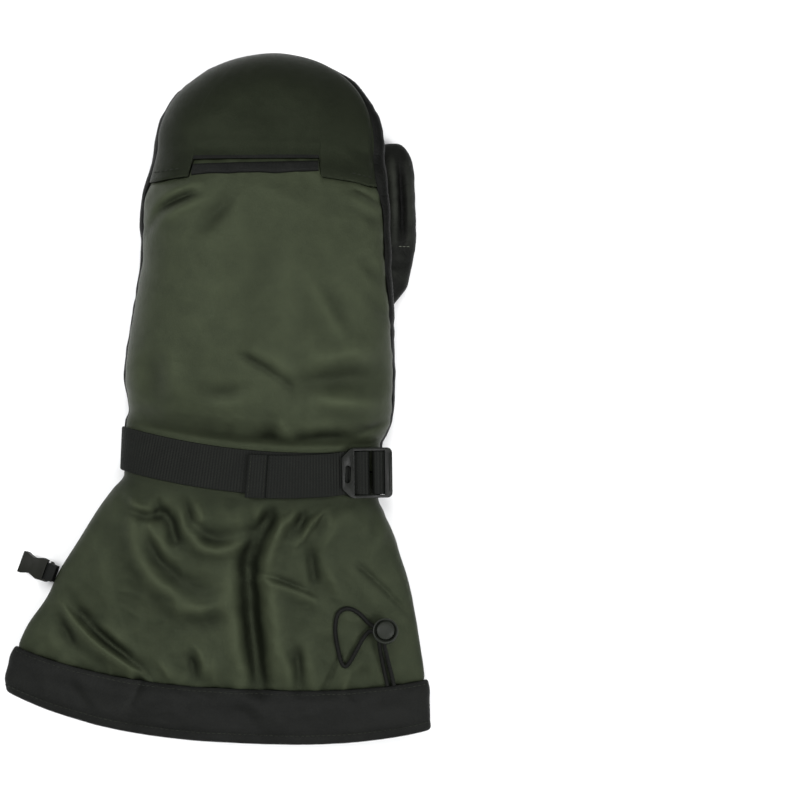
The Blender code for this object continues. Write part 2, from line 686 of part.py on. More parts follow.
def thumb_grid():
    straight = np.linspace(0.0, THUMB_DOME_START, THUMB_ROWS_STRAIGHT)[:-1]
    v = np.concatenate([straight, np.linspace(THUMB_DOME_START, 1.0, THUMB_ROWS_DOME)])
    u = np.arange(THUMB_COLUMNS) / THUMB_COLUMNS * 2 * math.pi
    return np.meshgrid(u, v)


def thumb(finish):
    u, v = thumb_grid()
    outer = thumb_form(0.0)(u, v)
    inner = thumb_form(-THUMB_WALL)(u, v)
    inner[-1] = outer[-1, 0] - np.array([0.0, THUMB_WALL, 0.0])
    outer[-1] = outer[-1, 0]
    return shell("thumb", outer, inner, finish, ring=True, tip=True)


def closed_tube(name, points, finish):
    """Solid from a grid of rings whose last row is a tip and whose first row is capped."""
    bm = bmesh.new()
    rings = []
    for ring in points[:-1]:
        rings.append([bm.verts.new(point) for point in ring])
    count = len(rings[0])
    tip = bm.verts.new(points[-1, 0])
    for low, high in zip(rings, rings[1:]):
        for index in range(count):
            after = (index + 1) % count
            bm.faces.new((low[index], low[after], high[after], high[index]))
    for index in range(count):
        bm.faces.new((rings[-1][index], rings[-1][(index + 1) % count], tip))
    bm.faces.new(rings[0])
    bmesh.ops.recalc_face_normals(bm, faces=bm.faces)
    mesh = bpy.data.meshes.new(name)
    bm.to_mesh(mesh)
    bm.free()
    return add_object(name, mesh, finish)


def cut(target, tool, operation="DIFFERENCE"):
    """Boolean of a target with a tool, which is then removed."""
    modifier = target.modifiers.new(operation.lower(), "BOOLEAN")
    modifier.operation = operation
    modifier.solver = "EXACT"
    modifier.object = tool
    bpy.context.view_layer.update()
    graph = bpy.context.evaluated_depsgraph_get()
    result = bpy.data.meshes.new_from_object(target.evaluated_get(graph))
    target.modifiers.clear()
    target.data = result
    bpy.data.objects.remove(tool, do_unlink=True)
    return target


def palm_panel(finish):
    """Leather from one side seam under the hand to the other, with the thumb's opening."""
    share = np.interp(np.linspace(0.0, 1.0, PALM_COLUMNS), PALM_BUNCH.even, PALM_BUNCH.close)
    edge = (CAP_EDGE[0].at + (CAP_EDGE[-1].at - CAP_EDGE[0].at) * share) * HAND_LENGTH
    v = np.array(back_rows(edge) + cap_rows(edge)[1:])
    first = seam_angle(v, -1)
    last = seam_angle(v, 1) + 2 * math.pi
    first = first + seam_step(first, v)
    last = last - seam_step(last - 2 * math.pi, v)
    u = first + (last - first) * share
    outer = layer(glove_form, u, v, np.zeros_like(u))
    inner = layer(glove_form, u, v, np.full_like(u, -PALM_WALL))
    palm = shell("palm_panel", outer, inner, finish, tip=True)
    u, v = thumb_grid()
    opening = thumb_form(GAP)(u, v)
    opening[-1] = opening[-1, 0]
    return cut(palm, closed_tube("thumb_opening", opening, finish))


def cuff_angles():
    over = np.linspace(0.0, math.pi, CUFF_COLUMNS_ABOVE)[:-1]
    under = np.linspace(math.pi, 2 * math.pi, CUFF_COLUMNS_BELOW)[:-1]
    return np.concatenate([over, under])


def gauntlet(finish):
    seam = HEM_BAND_WIDTH - CUFF_LENGTH
    end = seam + GAP / 2
    spread = np.linspace(0.0, 1.0, CUFF_ROWS) ** ROW_SPREAD
    v_rows = np.concatenate([[-GAP / 2, -WRIST_ZONE / 2], -WRIST_ZONE + (end + WRIST_ZONE) * spread])
    u, v = np.meshgrid(cuff_angles(), v_rows)
    outer = layer(glove_form, u, v, np.zeros_like(u))
    inner = layer(glove_form, u, v, np.full_like(u, -GAUNTLET_WALL))
    shell("gauntlet", outer, inner, finish, ring=True)


def hem_band(finish):
    """Band of the hem; its upper edge swells where the cord leaves the channel."""
    rim = HEM_BAND_WIDTH - CUFF_LENGTH - GAP / 2
    u, v = np.meshgrid(cuff_angles(), np.linspace(-CUFF_LENGTH, rim, HEM_ROWS))
    away = np.hypot(glove_form(u, v)[..., 0] - CORD_MOUTH_X, v - rim)
    swell = CORD_MOUTH_HEIGHT * np.exp(-((away / CORD_MOUTH_REACH) ** 2)) * (np.sin(u) > 0)
    outer = layer(glove_form, u, v, HEM_PROUD + swell)
    inner = layer(glove_form, u, v, np.full_like(u, HEM_PROUD - HEM_WALL))
    shell("hem_band", outer, inner, finish, ring=True)


def ribbon(name, path, half_width, below, above, finish):
    """Flat webbing along a path of rows (x, y, z, then the direction across the webbing)."""
    bm = bmesh.new()
    rows = []
    places = path[:, :3]
    runs = np.gradient(places, axis=0)
    for place, run, across, low, high in zip(places, runs, path[:, 3:], below, above):
        across = across / np.linalg.norm(across)
        out = np.cross(across, run)
        out = out / np.linalg.norm(out)
        corners = ((-low, -1), (-low, 1), (high, 1), (high, -1))
        rows.append([bm.verts.new(place + out * offset + across * side * half_width)
                     for offset, side in corners])
    for low, high in zip(rows, rows[1:]):
        for index in range(4):
            after = (index + 1) % 4
            bm.faces.new((low[index], low[after], high[after], high[index]))
    bm.faces.new(rows[0])
    bm.faces.new(rows[-1])
    bmesh.ops.recalc_face_normals(bm, faces=bm.faces)
    mesh = bpy.data.meshes.new(name)
    bm.to_mesh(mesh)
    bm.free()
    return add_object(name, mesh, finish)


def strap_line(side, over):
    line = STRAP_ON_TOP if over else STRAP_BELOW
    return (line.start + line.slope * side + line.curve * side**2) * STRAP_WIDTH


def wrist_points(angles, offset):
    """Rows of a webbing's path round the wrist's section, moved out by an offset."""
    found = []
    for angle in angles:
        step = 1e-3
        over = math.sin(angle) >= 0
        near = np.array([angle - step, angle, angle + step])
        rows = layer(glove_form, near, np.zeros(3), np.full(3, offset))
        rows[:, 1] = strap_line(side_of(near), over)
        out = outward(glove_form, near[1:2], np.zeros(1))[0]
        across = np.cross(out, rows[2] - rows[0])
        across = across / np.linalg.norm(across) * (1.0 if across[1] > 0 else -1.0)
        found.append((*rows[1], *across))
    return found


def cuff_side(x, v):
    """Place across the section at a distance along the mitten, as side_of gives it."""
    left, right = (float(section_column(name, v)) for name in ("left", "right"))
    return (x - (right - left) / 2) / ((right + left) / 2)


def wrist_top(x):
    """Height of the wrist's back at a place across it."""
    angle = float(angle_of(np.clip(cuff_side(x, 0.0), -1.0, 1.0)))
    return float(glove_form(angle, 0.0)[2])


def buckle_frame():
    """Place of the buckle: local X towards the thumb, along the strap, Z off the wrist."""
    reach = BUCKLE_LENGTH / 2 * math.cos(BUCKLE_TILT)
    lift = 0.0
    for step in range(21):
        local = -reach + 2 * reach * step / 20
        below = wrist_top(BUCKLE_CENTRE + local)
        lift = max(lift, below + local * math.tan(BUCKLE_TILT))
    height = lift + STRAP_CLEARANCE / math.cos(BUCKLE_TILT)
    side = cuff_side(BUCKLE_CENTRE, 0.0)
    line = strap_line(side, True)
    climb = (STRAP_ON_TOP.slope + 2 * STRAP_ON_TOP.curve * side) * STRAP_WIDTH / (WRIST_WIDTH / 2)
    turn = math.atan(0.5 * climb)
    place = Matrix.Translation((BUCKLE_CENTRE, line, height))
    return place @ Matrix.Rotation(turn, 4, "Z") @ Matrix.Rotation(BUCKLE_TILT, 4, "Y")


def buckle_point(x, z):
    """Row of a webbing's path at a point of the buckle's own X-Z plane."""
    frame = buckle_frame()
    return (*(frame @ Vector((x, 0.0, z))), *(frame.to_3x3() @ Vector((0.0, 1.0, 0.0))))


def path_lengths(path):
    """Length along a path up to each of its rows."""
    return np.concatenate([[0.0], np.cumsum(np.linalg.norm(np.diff(path[:, :3], axis=0), axis=1))])


def spaced(points, step):
    """Rows spread evenly along a smooth curve through the given ones."""
    points = np.array(points)
    padded = np.vstack([2 * points[0] - points[1], points, 2 * points[-1] - points[-2]])
    fine = []
    for index in range(1, len(padded) - 2):
        before, start, end, after = padded[index - 1:index + 3]
        for share in np.linspace(0.0, 1.0, 12, endpoint=False):
            fine.append(0.5 * (2 * start + (end - before) * share
                               + (2 * before - 5 * start + 4 * end - after) * share**2
                               + (3 * start - before - 3 * end + after) * share**3))
    fine.append(points[-1])
    fine = np.array(fine)
    lengths = path_lengths(fine)
    count = max(int(round(lengths[-1] / step)), 2)
    places = np.linspace(0.0, lengths[-1], count + 1)
    return np.stack([np.interp(places, lengths, fine[:, axis]) for axis in range(points.shape[1])], axis=1)


def wrapped(bar_x, bar_width, degrees):
    """Middle line of webbing round a bar of the buckle, at angles seen along the bar."""
    reach = BAR_EDGE + GAP + STRAP_THICKNESS / 2
    middle = (BAR_BOTTOM + BAR_TOP) / 2
    points = []
    for degree in degrees:
        cosine, sine = math.cos(math.radians(degree)), math.sin(math.radians(degree))
        corner_x = np.sign(round(cosine, 6)) * (bar_width / 2 - BAR_EDGE)
        corner_z = np.sign(round(sine, 6)) * (BAR_THICKNESS / 2 - BAR_EDGE)
        points.append(buckle_point(bar_x + corner_x + reach * cosine, middle + corner_z + reach * sine))
    return points


def wrist_strap(finish):
    """Webbing from under the wrist over the little finger's side, round the bar and back."""
    half = STRAP_THICKNESS / 2
    offset = STRAP_CLEARANCE + half
    around = wrist_points(np.linspace(2 * math.pi - STRAP_END_ANGLE, math.pi, 16)[:-1], offset)
    around += wrist_points(np.linspace(math.pi, TAB_ANGLE, 22), offset)
    tab_middle = (TAB_END_X - BUCKLE_LENGTH / 2) / 2
    through = [buckle_point(tab_middle, LOWER_LAYER), buckle_point(TAB_END_X, LOWER_LAYER)]
    through += wrapped(STRAP_BAR_X, STRAP_BAR_WIDTH, (-90, -45, 0, 45, 90, 135))
    through += [
        buckle_point(TAB_END_X + BAR_THICKNESS, UPPER_LAYER + half),
        buckle_point(TAB_END_X + 2 * GAP, UPPER_LAYER + half / 4),
        buckle_point(tab_middle, UPPER_LAYER),
        buckle_point(tab_middle - BAR_THICKNESS, UPPER_LAYER),
    ]
    first = spaced(around, STRAP_STEP)
    middle_part = spaced([first[-1]] + through, BEND_STEP)
    tail = np.array(wrist_points(np.linspace(TAB_ANGLE, TAIL_ANGLE, 9), offset + STRAP_THICKNESS + 2 * GAP))
    tail[:, 1] -= TAIL_DROP * STRAP_WIDTH * np.linspace(0.1, 1.0, len(tail))
    back = spaced([middle_part[-1], *tail], TAIL_STEP)
    run = path_lengths(back)
    back = back[run <= TAIL_LENGTH]
    path = np.vstack([first, middle_part[1:], back[1:]])
    run = path_lengths(path)
    folded = run > run[-1] - TAIL_FOLD
    top_of_tail = np.where(folded, half + STRAP_THICKNESS, half)
    ribbon("wrist_strap", path, STRAP_WIDTH / 2, np.full(len(path), half), top_of_tail, finish)


def buckle_webbing(finish):
    """Short webbing looped round the fixed bar and led under the thumb's side."""
    half = STRAP_THICKNESS / 2
    loop = [buckle_point(END_BAR_X - WEBBING_BACK, UPPER_LAYER + half / 2)]
    loop += wrapped(FIXED_BAR_X, FIXED_BAR_WIDTH, (50, 90, 135, 180, 225, 270))
    loop.append(buckle_point(END_BAR_X, LOWER_LAYER))
    loop.append(buckle_point(END_BAR_X + WEBBING_LEAD, LOWER_LAYER - half / 2))
    angles = np.linspace(WEBBING_ANGLE, -STRAP_END_ANGLE + STRAP_SPLIT, 12)
    around = wrist_points(angles, STRAP_CLEARANCE + half)
    first = spaced(loop, BEND_STEP)
    second = spaced([first[-1]] + around, WEBBING_STEP)
    path = np.vstack([first, second[1:]])
    layers = np.full(len(path), half)
    ribbon("buckle_webbing", path, STRAP_WIDTH / 2, layers, layers, finish)


def prism(name, outline, low, high, axes, finish):
    """Straight prism on an outline; axes gives the outline's two axes and the height's."""
    bm = bmesh.new()
    ends = []
    for height in (low, high):
        ring = []
        for first, second in outline:
            place = [0.0, 0.0, 0.0]
            place[axes[0]] = first
            place[axes[1]] = second
            place[axes[2]] = height
            ring.append(bm.verts.new(place))
        ends.append(ring)
    count = len(outline)
    bm.faces.new(ends[0])
    bm.faces.new(ends[1])
    for index in range(count):
        after = (index + 1) % count
        bm.faces.new((ends[0][index], ends[0][after], ends[1][after], ends[1][index]))
    bmesh.ops.recalc_face_normals(bm, faces=bm.faces)
    mesh = bpy.data.meshes.new(name)
    bm.to_mesh(mesh)
    bm.free()
    return add_object(name, mesh, finish)


def box(name, low, high, finish):
    outline = [(low[0], low[1]), (high[0], low[1]), (high[0], high[1]), (low[0], high[1])]
    return prism(name, outline, low[2], high[2], (0, 1, 2), finish)


def rounded(corners, steps=4):
    """Outline with arcs at its corners, given as (x, y, radius)."""
    outline = []
    count = len(corners)
    for index, (x, y, radius) in enumerate(corners):
        here = Vector((x, y))
        before = Vector(corners[index - 1][:2]) - here
        after = Vector(corners[(index + 1) % count][:2]) - here
        before.normalize()
        after.normalize()
        half_angle = before.angle(after) / 2
        reach = radius / math.tan(half_angle)
        centre = here + (before + after).normalized() * radius / math.sin(half_angle)
        start = here + before * reach - centre
        turn = -(math.pi - 2 * half_angle)
        if before.x * after.y - before.y * after.x < 0:
            turn = -turn
        for step in range(steps + 1):
            angle = turn * step / steps
            cosine, sine = math.cos(angle), math.sin(angle)
            outline.append((centre.x + start.x * cosine - start.y * sine,
                            centre.y + start.x * sine + start.y * cosine))
    return outline


def strap_buckle(finish):
    """Ladder lock: raised tab, two bars inside a frame with side rails, and an end bar."""
    inner = STRAP_WIDTH / 2 + GAP
    outer = inner + BUCKLE_RAIL
    end = BUCKLE_LENGTH / 2
    nose_x, nose_y = BUCKLE_NOSE * end, BUCKLE_NOSE * outer
    plan = rounded([(-end, -nose_y, NOSE_RADIUS), (-nose_x, -outer, SHOULDER_RADIUS),
                    (end, -outer, END_RADIUS), (end, outer, END_RADIUS),
                    (-nose_x, outer, SHOULDER_RADIUS), (-end, nose_y, NOSE_RADIUS)])
    body = prism("strap_buckle", plan, 0.0, TAB_TOP, (0, 1, 2), finish)
    rail_top = BAR_TOP + GAP
    past_top, past_end, past_side = TAB_TOP + OVERCUT, end + OVERCUT, outer + OVERCUT
    slope = [(TAB_END_X + OVERCUT, past_top), (TAB_END_X + OVERCUT, TAB_TOP),
             (STRAP_BAR_X + OVERCUT, rail_top), (past_end, rail_top), (past_end, past_top)]
    cut(body, prism("slope", slope, -past_side, past_side, (0, 2, 1), finish))
    cut(body, box("window", (TAB_END_X, -inner, -OVERCUT), (END_BAR_X, inner, past_top), finish))
    tab_end, bar_end = TAB_END_X + OVERCUT, END_BAR_X - OVERCUT
    cut(body, box("strap_way", (-past_end, -inner, -OVERCUT), (tab_end, inner, TAB_BOTTOM), finish))
    cut(body, box("webbing_way", (bar_end, -inner, -OVERCUT), (past_end, inner, BAR_BOTTOM), finish))
    slot = rounded([(corner.along * BUCKLE_LENGTH, corner.across * STRAP_WIDTH, corner.radius * STRAP_WIDTH)
                    for corner in TAB_SLOT], steps=3)
    cut(body, prism("tab_slot", slot, TAB_BOTTOM - OVERCUT, past_top, (0, 1, 2), finish))
    for place, width in ((STRAP_BAR_X, STRAP_BAR_WIDTH), (FIXED_BAR_X, FIXED_BAR_WIDTH)):
        half = width / 2
        profile = rounded([(place - half, BAR_BOTTOM, BAR_EDGE), (place + half, BAR_BOTTOM, BAR_EDGE),
                           (place + half, BAR_TOP, BAR_EDGE), (place - half, BAR_TOP, BAR_EDGE)], steps=2)
        bar = prism("bar", profile, -inner - BUCKLE_RAIL / 2, inner + BUCKLE_RAIL / 2, (0, 2, 1), finish)
        cut(body, bar, "UNION")
    low, high = rail_top - RIDGE_ROOT, rail_top + RIDGE_HEIGHT
    ridge = [(RIDGE_X - RIDGE_FOOT / 2, low), (RIDGE_X + RIDGE_FOOT / 2, low),
             (RIDGE_X + RIDGE_TOP / 2, high), (RIDGE_X - RIDGE_TOP / 2, high)]
    cut(body, prism("ridge", ridge, -0.85 * inner, 0.85 * inner, (0, 2, 1), finish), "UNION")
    body.data.shade_smooth()
    body.data.set_sharp_from_angle(angle=math.radians(35))
    body.matrix_world = buckle_frame()


def clip_frame():
    """Place of the clip: local X runs out to its mouth from the seam of the cuff."""
    seam = glove_form(math.pi, -CLIP_PLACE)
    heading = Matrix.Rotation(CLIP_TURN, 4, "Z") @ Matrix.Rotation(CLIP_DROOP, 4, "Y")
    start = Vector(seam) + heading @ Vector((CLIP_REACH, 0.0, 0.0))
    return Matrix.Translation(start) @ heading


def clip_socket(finish):
    """Socket half of a side release clip, with a split bar for its webbing."""
    length = CLIP_LENGTH
    wide = CLIP_WIDTH / 2
    high = CLIP_HEIGHT / 2
    thin = CLIP_THINNED * CLIP_HEIGHT
    half_plan = [(row.along * length, row.across * wide) for row in CLIP_PLAN]
    plan = half_plan + [(x, -y) for x, y in reversed(half_plan)]
    body = prism("clip_socket", plan, -high, high, (0, 1, 2), finish)
    start, end = CLIP_STEP_START * length, CLIP_STEP_END * length
    profile = [(-OVERCUT, thin), (start, thin), (end, high + OVERCUT / 10), (end, high + OVERCUT),
               (-OVERCUT, high + OVERCUT)]
    cut(body, prism("upper_step", profile, -CLIP_WIDTH, CLIP_WIDTH, (0, 2, 1), finish))
    lower = [(x, -z) for x, z in profile]
    cut(body, prism("lower_step", lower, -CLIP_WIDTH, CLIP_WIDTH, (0, 2, 1), finish))
    slit_low = (CLIP_BAR, -wide - OVERCUT, -high)
    slit_high = (CLIP_BAR + CLIP_SLIT, TAB_WIDTH / 2 + GAP, high)
    cut(body, box("slit", slit_low, slit_high, finish))
    start, mouth = CLIP_SOCKET_START * length, length + OVERCUT
    socket = [(start, -CLIP_THROAT / 2), (mouth, -CLIP_MOUTH / 2),
              (mouth, CLIP_MOUTH / 2), (start, CLIP_THROAT / 2)]
    cut(body, prism("socket", socket, -thin, thin, (0, 1, 2), finish))
    window_low = (CLIP_WINDOW_START * length, -CLIP_WIDTH, -CLIP_WINDOW_SHARE * CLIP_HEIGHT)
    window_high = (CLIP_WINDOW_END * length, CLIP_WIDTH, CLIP_WINDOW_SHARE * CLIP_HEIGHT)
    cut(body, box("side_window", window_low, window_high, finish))
    body.data.shade_smooth()
    body.data.set_sharp_from_angle(angle=math.radians(35))
    body.matrix_world = clip_frame()


def clip_webbing(finish):
    """Narrow webbing from the cuff's seam round the clip's bar and back."""
    half = TAB_THICKNESS / 2
    level = CLIP_THINNED * CLIP_HEIGHT + GAP + half
    seam_x = -CLIP_REACH + GAP + STRAP_CLEARANCE
    turn = CLIP_BAR + CLIP_SLIT / 2
    outline = [(seam_x, level), (CLIP_BAR * 0.5, level), (CLIP_BAR, level * 0.95),
               (turn, level * 0.55), (turn, -level * 0.55), (CLIP_BAR, -level * 0.95),
               (CLIP_BAR * 0.5, -level), (seam_x, -level)]
    path = spaced([(x, 0.0, z, 0.0, 1.0, 0.0) for x, z in outline], CLIP_STEP)
    layers = np.full(len(path), half)
    webbing = ribbon("clip_webbing", path, TAB_WIDTH / 2, layers, layers, finish)
    webbing.matrix_world = clip_frame()


def cuff_top(x, y):
    """Point and normal on the back of the cuff over a place on the table."""
    v = y
    for _ in range(30):
        angle = float(angle_of(np.clip(cuff_side(x, v), -1.0, 1.0)))
        v += y - float(glove_form(angle, v)[1])
    place = np.array([angle]), np.array([v])
    return glove_form(*place)[0], outward(glove_form, *place)[0]


def lock_frame():
    """Place of the cord lock: its foot on the cuff, its button leaning to the fingertips."""
    radius = LOCK_DIAMETER / 2
    centre, _ = cuff_top(LOCK_X, LOCK_Y)
    highest = 0.0
    for step in range(12):
        angle = step * math.pi / 6
        reach_x, reach_y = radius * math.cos(angle), radius * math.sin(angle)
        point, _ = cuff_top(LOCK_X + reach_x, LOCK_Y + reach_y)
        highest = max(highest, point[2] + reach_y * math.tan(LOCK_LEAN))
    highest = max(highest, centre[2])
    place = Matrix.Translation((LOCK_X, LOCK_Y, highest + GAP))
    return place @ Matrix.Rotation(-LOCK_LEAN, 4, "X") @ Matrix.Rotation(LOCK_TURN, 4, "Z")


def turned(name, profile, finish, sides=LOCK_SIDES):
    """Solid of revolution from a profile of (radius, height) that starts and ends on the axis."""
    bm = bmesh.new()
    rings = []
    for radius, height in profile:
        if radius < 1e-9:
            rings.append([bm.verts.new((0.0, 0.0, height))] * sides)
        else:
            rings.append([bm.verts.new((radius * math.cos(2 * math.pi * side / sides),
                                        radius * math.sin(2 * math.pi * side / sides), height))
                          for side in range(sides)])
    for low, high in zip(rings, rings[1:]):
        for side in range(sides):
            after = (side + 1) % sides
            corners = list(dict.fromkeys((low[side], low[after], high[after], high[side])))
            bm.faces.new(corners)
    bmesh.ops.recalc_face_normals(bm, faces=bm.faces)
    mesh = bpy.data.meshes.new(name)
    bm.to_mesh(mesh)
    bm.free()
    mesh.shade_smooth()
    mesh.set_sharp_from_angle(angle=math.radians(35))
    return add_object(name, mesh, finish)


def cord_lock_body(finish):
    """Round cup with a crosswise way for the two strands of the cord."""
    radius = LOCK_DIAMETER / 2
    bore = BUTTON_DIAMETER / 2 + GAP
    height = LOCK_HEIGHT
    profile = [(0.0, 0.0), (radius - LOCK_FOOT_EDGE, 0.0), (radius, LOCK_FOOT_EDGE),
               (radius, height - LOCK_RIM_EDGE), (radius - LOCK_LIP, height), (bore + BORE_LIP, height),
               (bore, height - LOCK_LIP), (bore, LOCK_FLOOR), (0.0, LOCK_FLOOR)]
    body = turned("cord_lock_body", profile, finish)
    way = 1.5 * CORD_DIAMETER + CORD_PLAY
    past = radius + OVERCUT
    low, high = LOCK_FLOOR, LOCK_FLOOR + CORD_WAY
    cut(body, box("left_way", (-past, -way, low), (-0.5 * bore, way, high), finish))
    cut(body, box("low_way", (-way, -past, low), (way, -0.5 * bore, high), finish))
    body.matrix_world = lock_frame()


def cord_lock_button(finish):
    """Domed push button that slides down into the cup."""
    radius = BUTTON_DIAMETER / 2
    foot = LOCK_FLOOR + CORD_WAY + GAP + BUTTON_TRAVEL
    rim = LOCK_HEIGHT + BUTTON_TRAVEL + BUTTON_PROUD
    profile = [(0.0, foot), (radius - GAP, foot), (radius, foot + GAP), (radius, rim)]
    for step in range(1, 5):
        angle = math.pi / 2 * step / 4
        profile.append((radius * math.cos(angle) if step < 4 else 0.0, rim + BUTTON_RISE * math.sin(angle)))
    button = turned("cord_lock_button", profile, finish)
    button.matrix_world = lock_frame()


def draw_cord(finish):
    """Elastic cord from the hem's channel through the lock, in a loop and back."""
    route = np.array(CORD_ROUTE)
    padded = np.vstack([2 * route[0] - route[1], route, 2 * route[-1] - route[-2]])
    points = []
    for index in range(1, len(padded) - 2):
        before, start, end, after = padded[index - 1:index + 3]
        for step in range(CORD_STEPS_PER_STRETCH):
            share = step / CORD_STEPS_PER_STRETCH
            points.append(0.5 * (2 * start + (end - before) * share
                                 + (2 * before - 5 * start + 4 * end - after) * share**2
                                 + (3 * start - before - 3 * end + after) * share**3))
    points.append(route[-1])
    curve = bpy.data.curves.new("draw_cord", "CURVE")
    curve.dimensions = "3D"
    curve.bevel_depth = CORD_DIAMETER / 2
    curve.bevel_resolution = 2
    curve.use_fill_caps = True
    spline = curve.splines.new("POLY")
    spline.points.add(len(points) - 1)
    for place, point in zip(spline.points, points):
        place.co = (*point, 1.0)
    add_object("draw_cord", curve, finish)


def centre_on_table(pieces):
    """Hang every piece on one empty that centres the mitten over the origin."""
    bpy.context.view_layer.update()
    corners = []
    for piece in pieces:
        if piece.name in CORD_PIECES:
            continue
        corners += [piece.matrix_world @ vertex.co for vertex in piece.data.vertices]
    middle_x = (min(corner.x for corner in corners) + max(corner.x for corner in corners)) / 2
    middle_y = (min(corner.y for corner in corners) + max(corner.y for corner in corners)) / 2
    frame = bpy.data.objects.new("mitten", None)
    bpy.context.collection.objects.link(frame)
    for piece in pieces:
        piece.parent = frame
    frame.location = (-middle_x, -middle_y, 0.0)
    bpy.context.view_layer.update()


def main():
    clear_scene()
    green = material("green_nylon", (0.045, 0.055, 0.033), 0.55)
    dark = material("dark_cap_cloth", (0.022, 0.028, 0.016), 0.60)
    leather = material("black_leather", (0.010, 0.012, 0.010), 0.50)
    hem = material("black_nylon", (0.015, 0.016, 0.014), 0.75)
    web = material("black_webbing", (0.018, 0.020, 0.017), 0.85)
    plastic = material("black_plastic", (0.014, 0.016, 0.013), 0.40)
    lock = material("grey_plastic", (0.045, 0.050, 0.042), 0.45)
    cord = material("black_cord", (0.010, 0.011, 0.010), 0.80)
    back_panel(green)
    fingertip_cap(dark)
    pocket_binding(hem)
    palm_panel(leather)
    thumb(leather)
    gauntlet(green)
    hem_band(hem)
    wrist_strap(web)
    buckle_webbing(web)
    strap_buckle(plastic)
    clip_socket(plastic)
    clip_webbing(web)
    cord_lock_body(lock)
    cord_lock_button(lock)
    draw_cord(cord)
    centre_on_table([item for item in bpy.data.objects if item.type != "EMPTY"])


main()
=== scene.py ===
import collections
import math

import bmesh
import bpy
import numpy as np
from mathutils import Matrix, Vector


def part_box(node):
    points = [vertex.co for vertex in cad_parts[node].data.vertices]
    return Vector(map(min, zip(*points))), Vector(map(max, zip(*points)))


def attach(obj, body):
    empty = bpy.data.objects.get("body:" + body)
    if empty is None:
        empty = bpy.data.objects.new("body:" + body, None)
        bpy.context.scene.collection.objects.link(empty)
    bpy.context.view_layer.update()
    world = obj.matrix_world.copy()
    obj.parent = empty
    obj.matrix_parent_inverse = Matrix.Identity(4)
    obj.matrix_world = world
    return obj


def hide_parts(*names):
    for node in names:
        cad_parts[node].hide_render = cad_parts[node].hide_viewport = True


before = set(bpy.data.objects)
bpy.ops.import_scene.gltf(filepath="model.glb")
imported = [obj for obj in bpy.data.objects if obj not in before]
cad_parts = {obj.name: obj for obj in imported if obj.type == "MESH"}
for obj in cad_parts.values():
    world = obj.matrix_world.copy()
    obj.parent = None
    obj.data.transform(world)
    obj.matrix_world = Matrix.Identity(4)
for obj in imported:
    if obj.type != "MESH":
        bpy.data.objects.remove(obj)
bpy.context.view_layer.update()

# Main sizes in metres, measured from the middle of the wrist strap as the CAD source does
HAND_LENGTH = 0.2403
CUFF_LENGTH = 0.160
HAND_WIDTH = 0.157
WRIST_WIDTH = 0.1496
HEM_WIDTH = 0.248
HAND_HEIGHT = 0.058
WRIST_HEIGHT = 0.038
HEM_HEIGHT = 0.026
TIP_HEIGHT = 0.019
BACK_WALL = 0.005
CAP_WALL = 0.004
PALM_WALL = 0.003
THUMB_WALL = 0.0025
GAUNTLET_WALL = 0.0016
HEM_WALL = 0.0028
HEM_PROUD = 0.0006
HEM_BAND_WIDTH = 0.0315
BINDING_WIDTH = 0.0060
BINDING_THICKNESS = 0.0009
BINDING_DROP = 0.0057
BINDING_SLANT = 0.0043
GAP = 0.0003
THUMB_LENGTH = 0.108
THUMB_WIDTH = 0.044
THUMB_HEIGHT = 0.0215
THUMB_ROOT = 0.0845
THUMB_CENTRE = 0.066
CROTCH = 0.103
STRAP_WIDTH = 0.025
STRAP_THICKNESS = 0.0016
STRAP_CLEARANCE = 0.0004
TAIL_LENGTH = 0.0563
TAIL_FOLD = 0.0115
BUCKLE_LENGTH = 0.0305
BUCKLE_RAIL = 0.0017
BUCKLE_CENTRE = 0.0640
BUCKLE_TILT = math.radians(15.0)
BAR_THICKNESS = 0.0020
LOCK_X = 0.0795
LOCK_Y = -0.0921
LOCK_FOOT = 0.0259
LOCK_DIAMETER = 0.0147
LOCK_HEIGHT = 0.0110
LOCK_TURN = math.radians(-12.0)
LOCK_LEAN = math.radians(9.0)
BUTTON_DIAMETER = 0.0102
BUTTON_TRAVEL = 0.0030
CORD_DIAMETER = 0.0025
WRIST_ZONE = STRAP_WIDTH / 2 + BUCKLE_RAIL + 2 * GAP + 0.0005
STRAP_ROOM = STRAP_THICKNESS + STRAP_CLEARANCE + GAP
THUMB_ROOM = THUMB_HEIGHT + 2 * GAP + 0.0015

# Levels inside the buckle, from its underside up
LOWER_LAYER = STRAP_THICKNESS / 2
BAR_BOTTOM = STRAP_THICKNESS + GAP
BAR_TOP = BAR_BOTTOM + BAR_THICKNESS
BAR_EDGE = 0.0005
UPPER_LAYER = 1.5 * STRAP_THICKNESS + GAP
STRAP_BAR_X = -0.0016
STRAP_BAR_WIDTH = 0.0030
FIXED_BAR_X = 0.0068
FIXED_BAR_WIDTH = 0.0024
END_BAR_X = 0.0108
TAB_END_X = -0.0078
STRAP_END_ANGLE = 0.95
TAB_ANGLE = 0.98
TAIL_DROP = 0.10
LOCK_FLOOR = 0.0016
CORD_WAY = CORD_DIAMETER + 0.0010

# The strap's middle line is the origin of these sizes; the CAD model stands elsewhere.
thumb_low, thumb_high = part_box("thumb")
CENTRE = Vector((thumb_high.x - THUMB_CENTRE - THUMB_WIDTH / 2, thumb_low.y - THUMB_ROOT, 0.0))

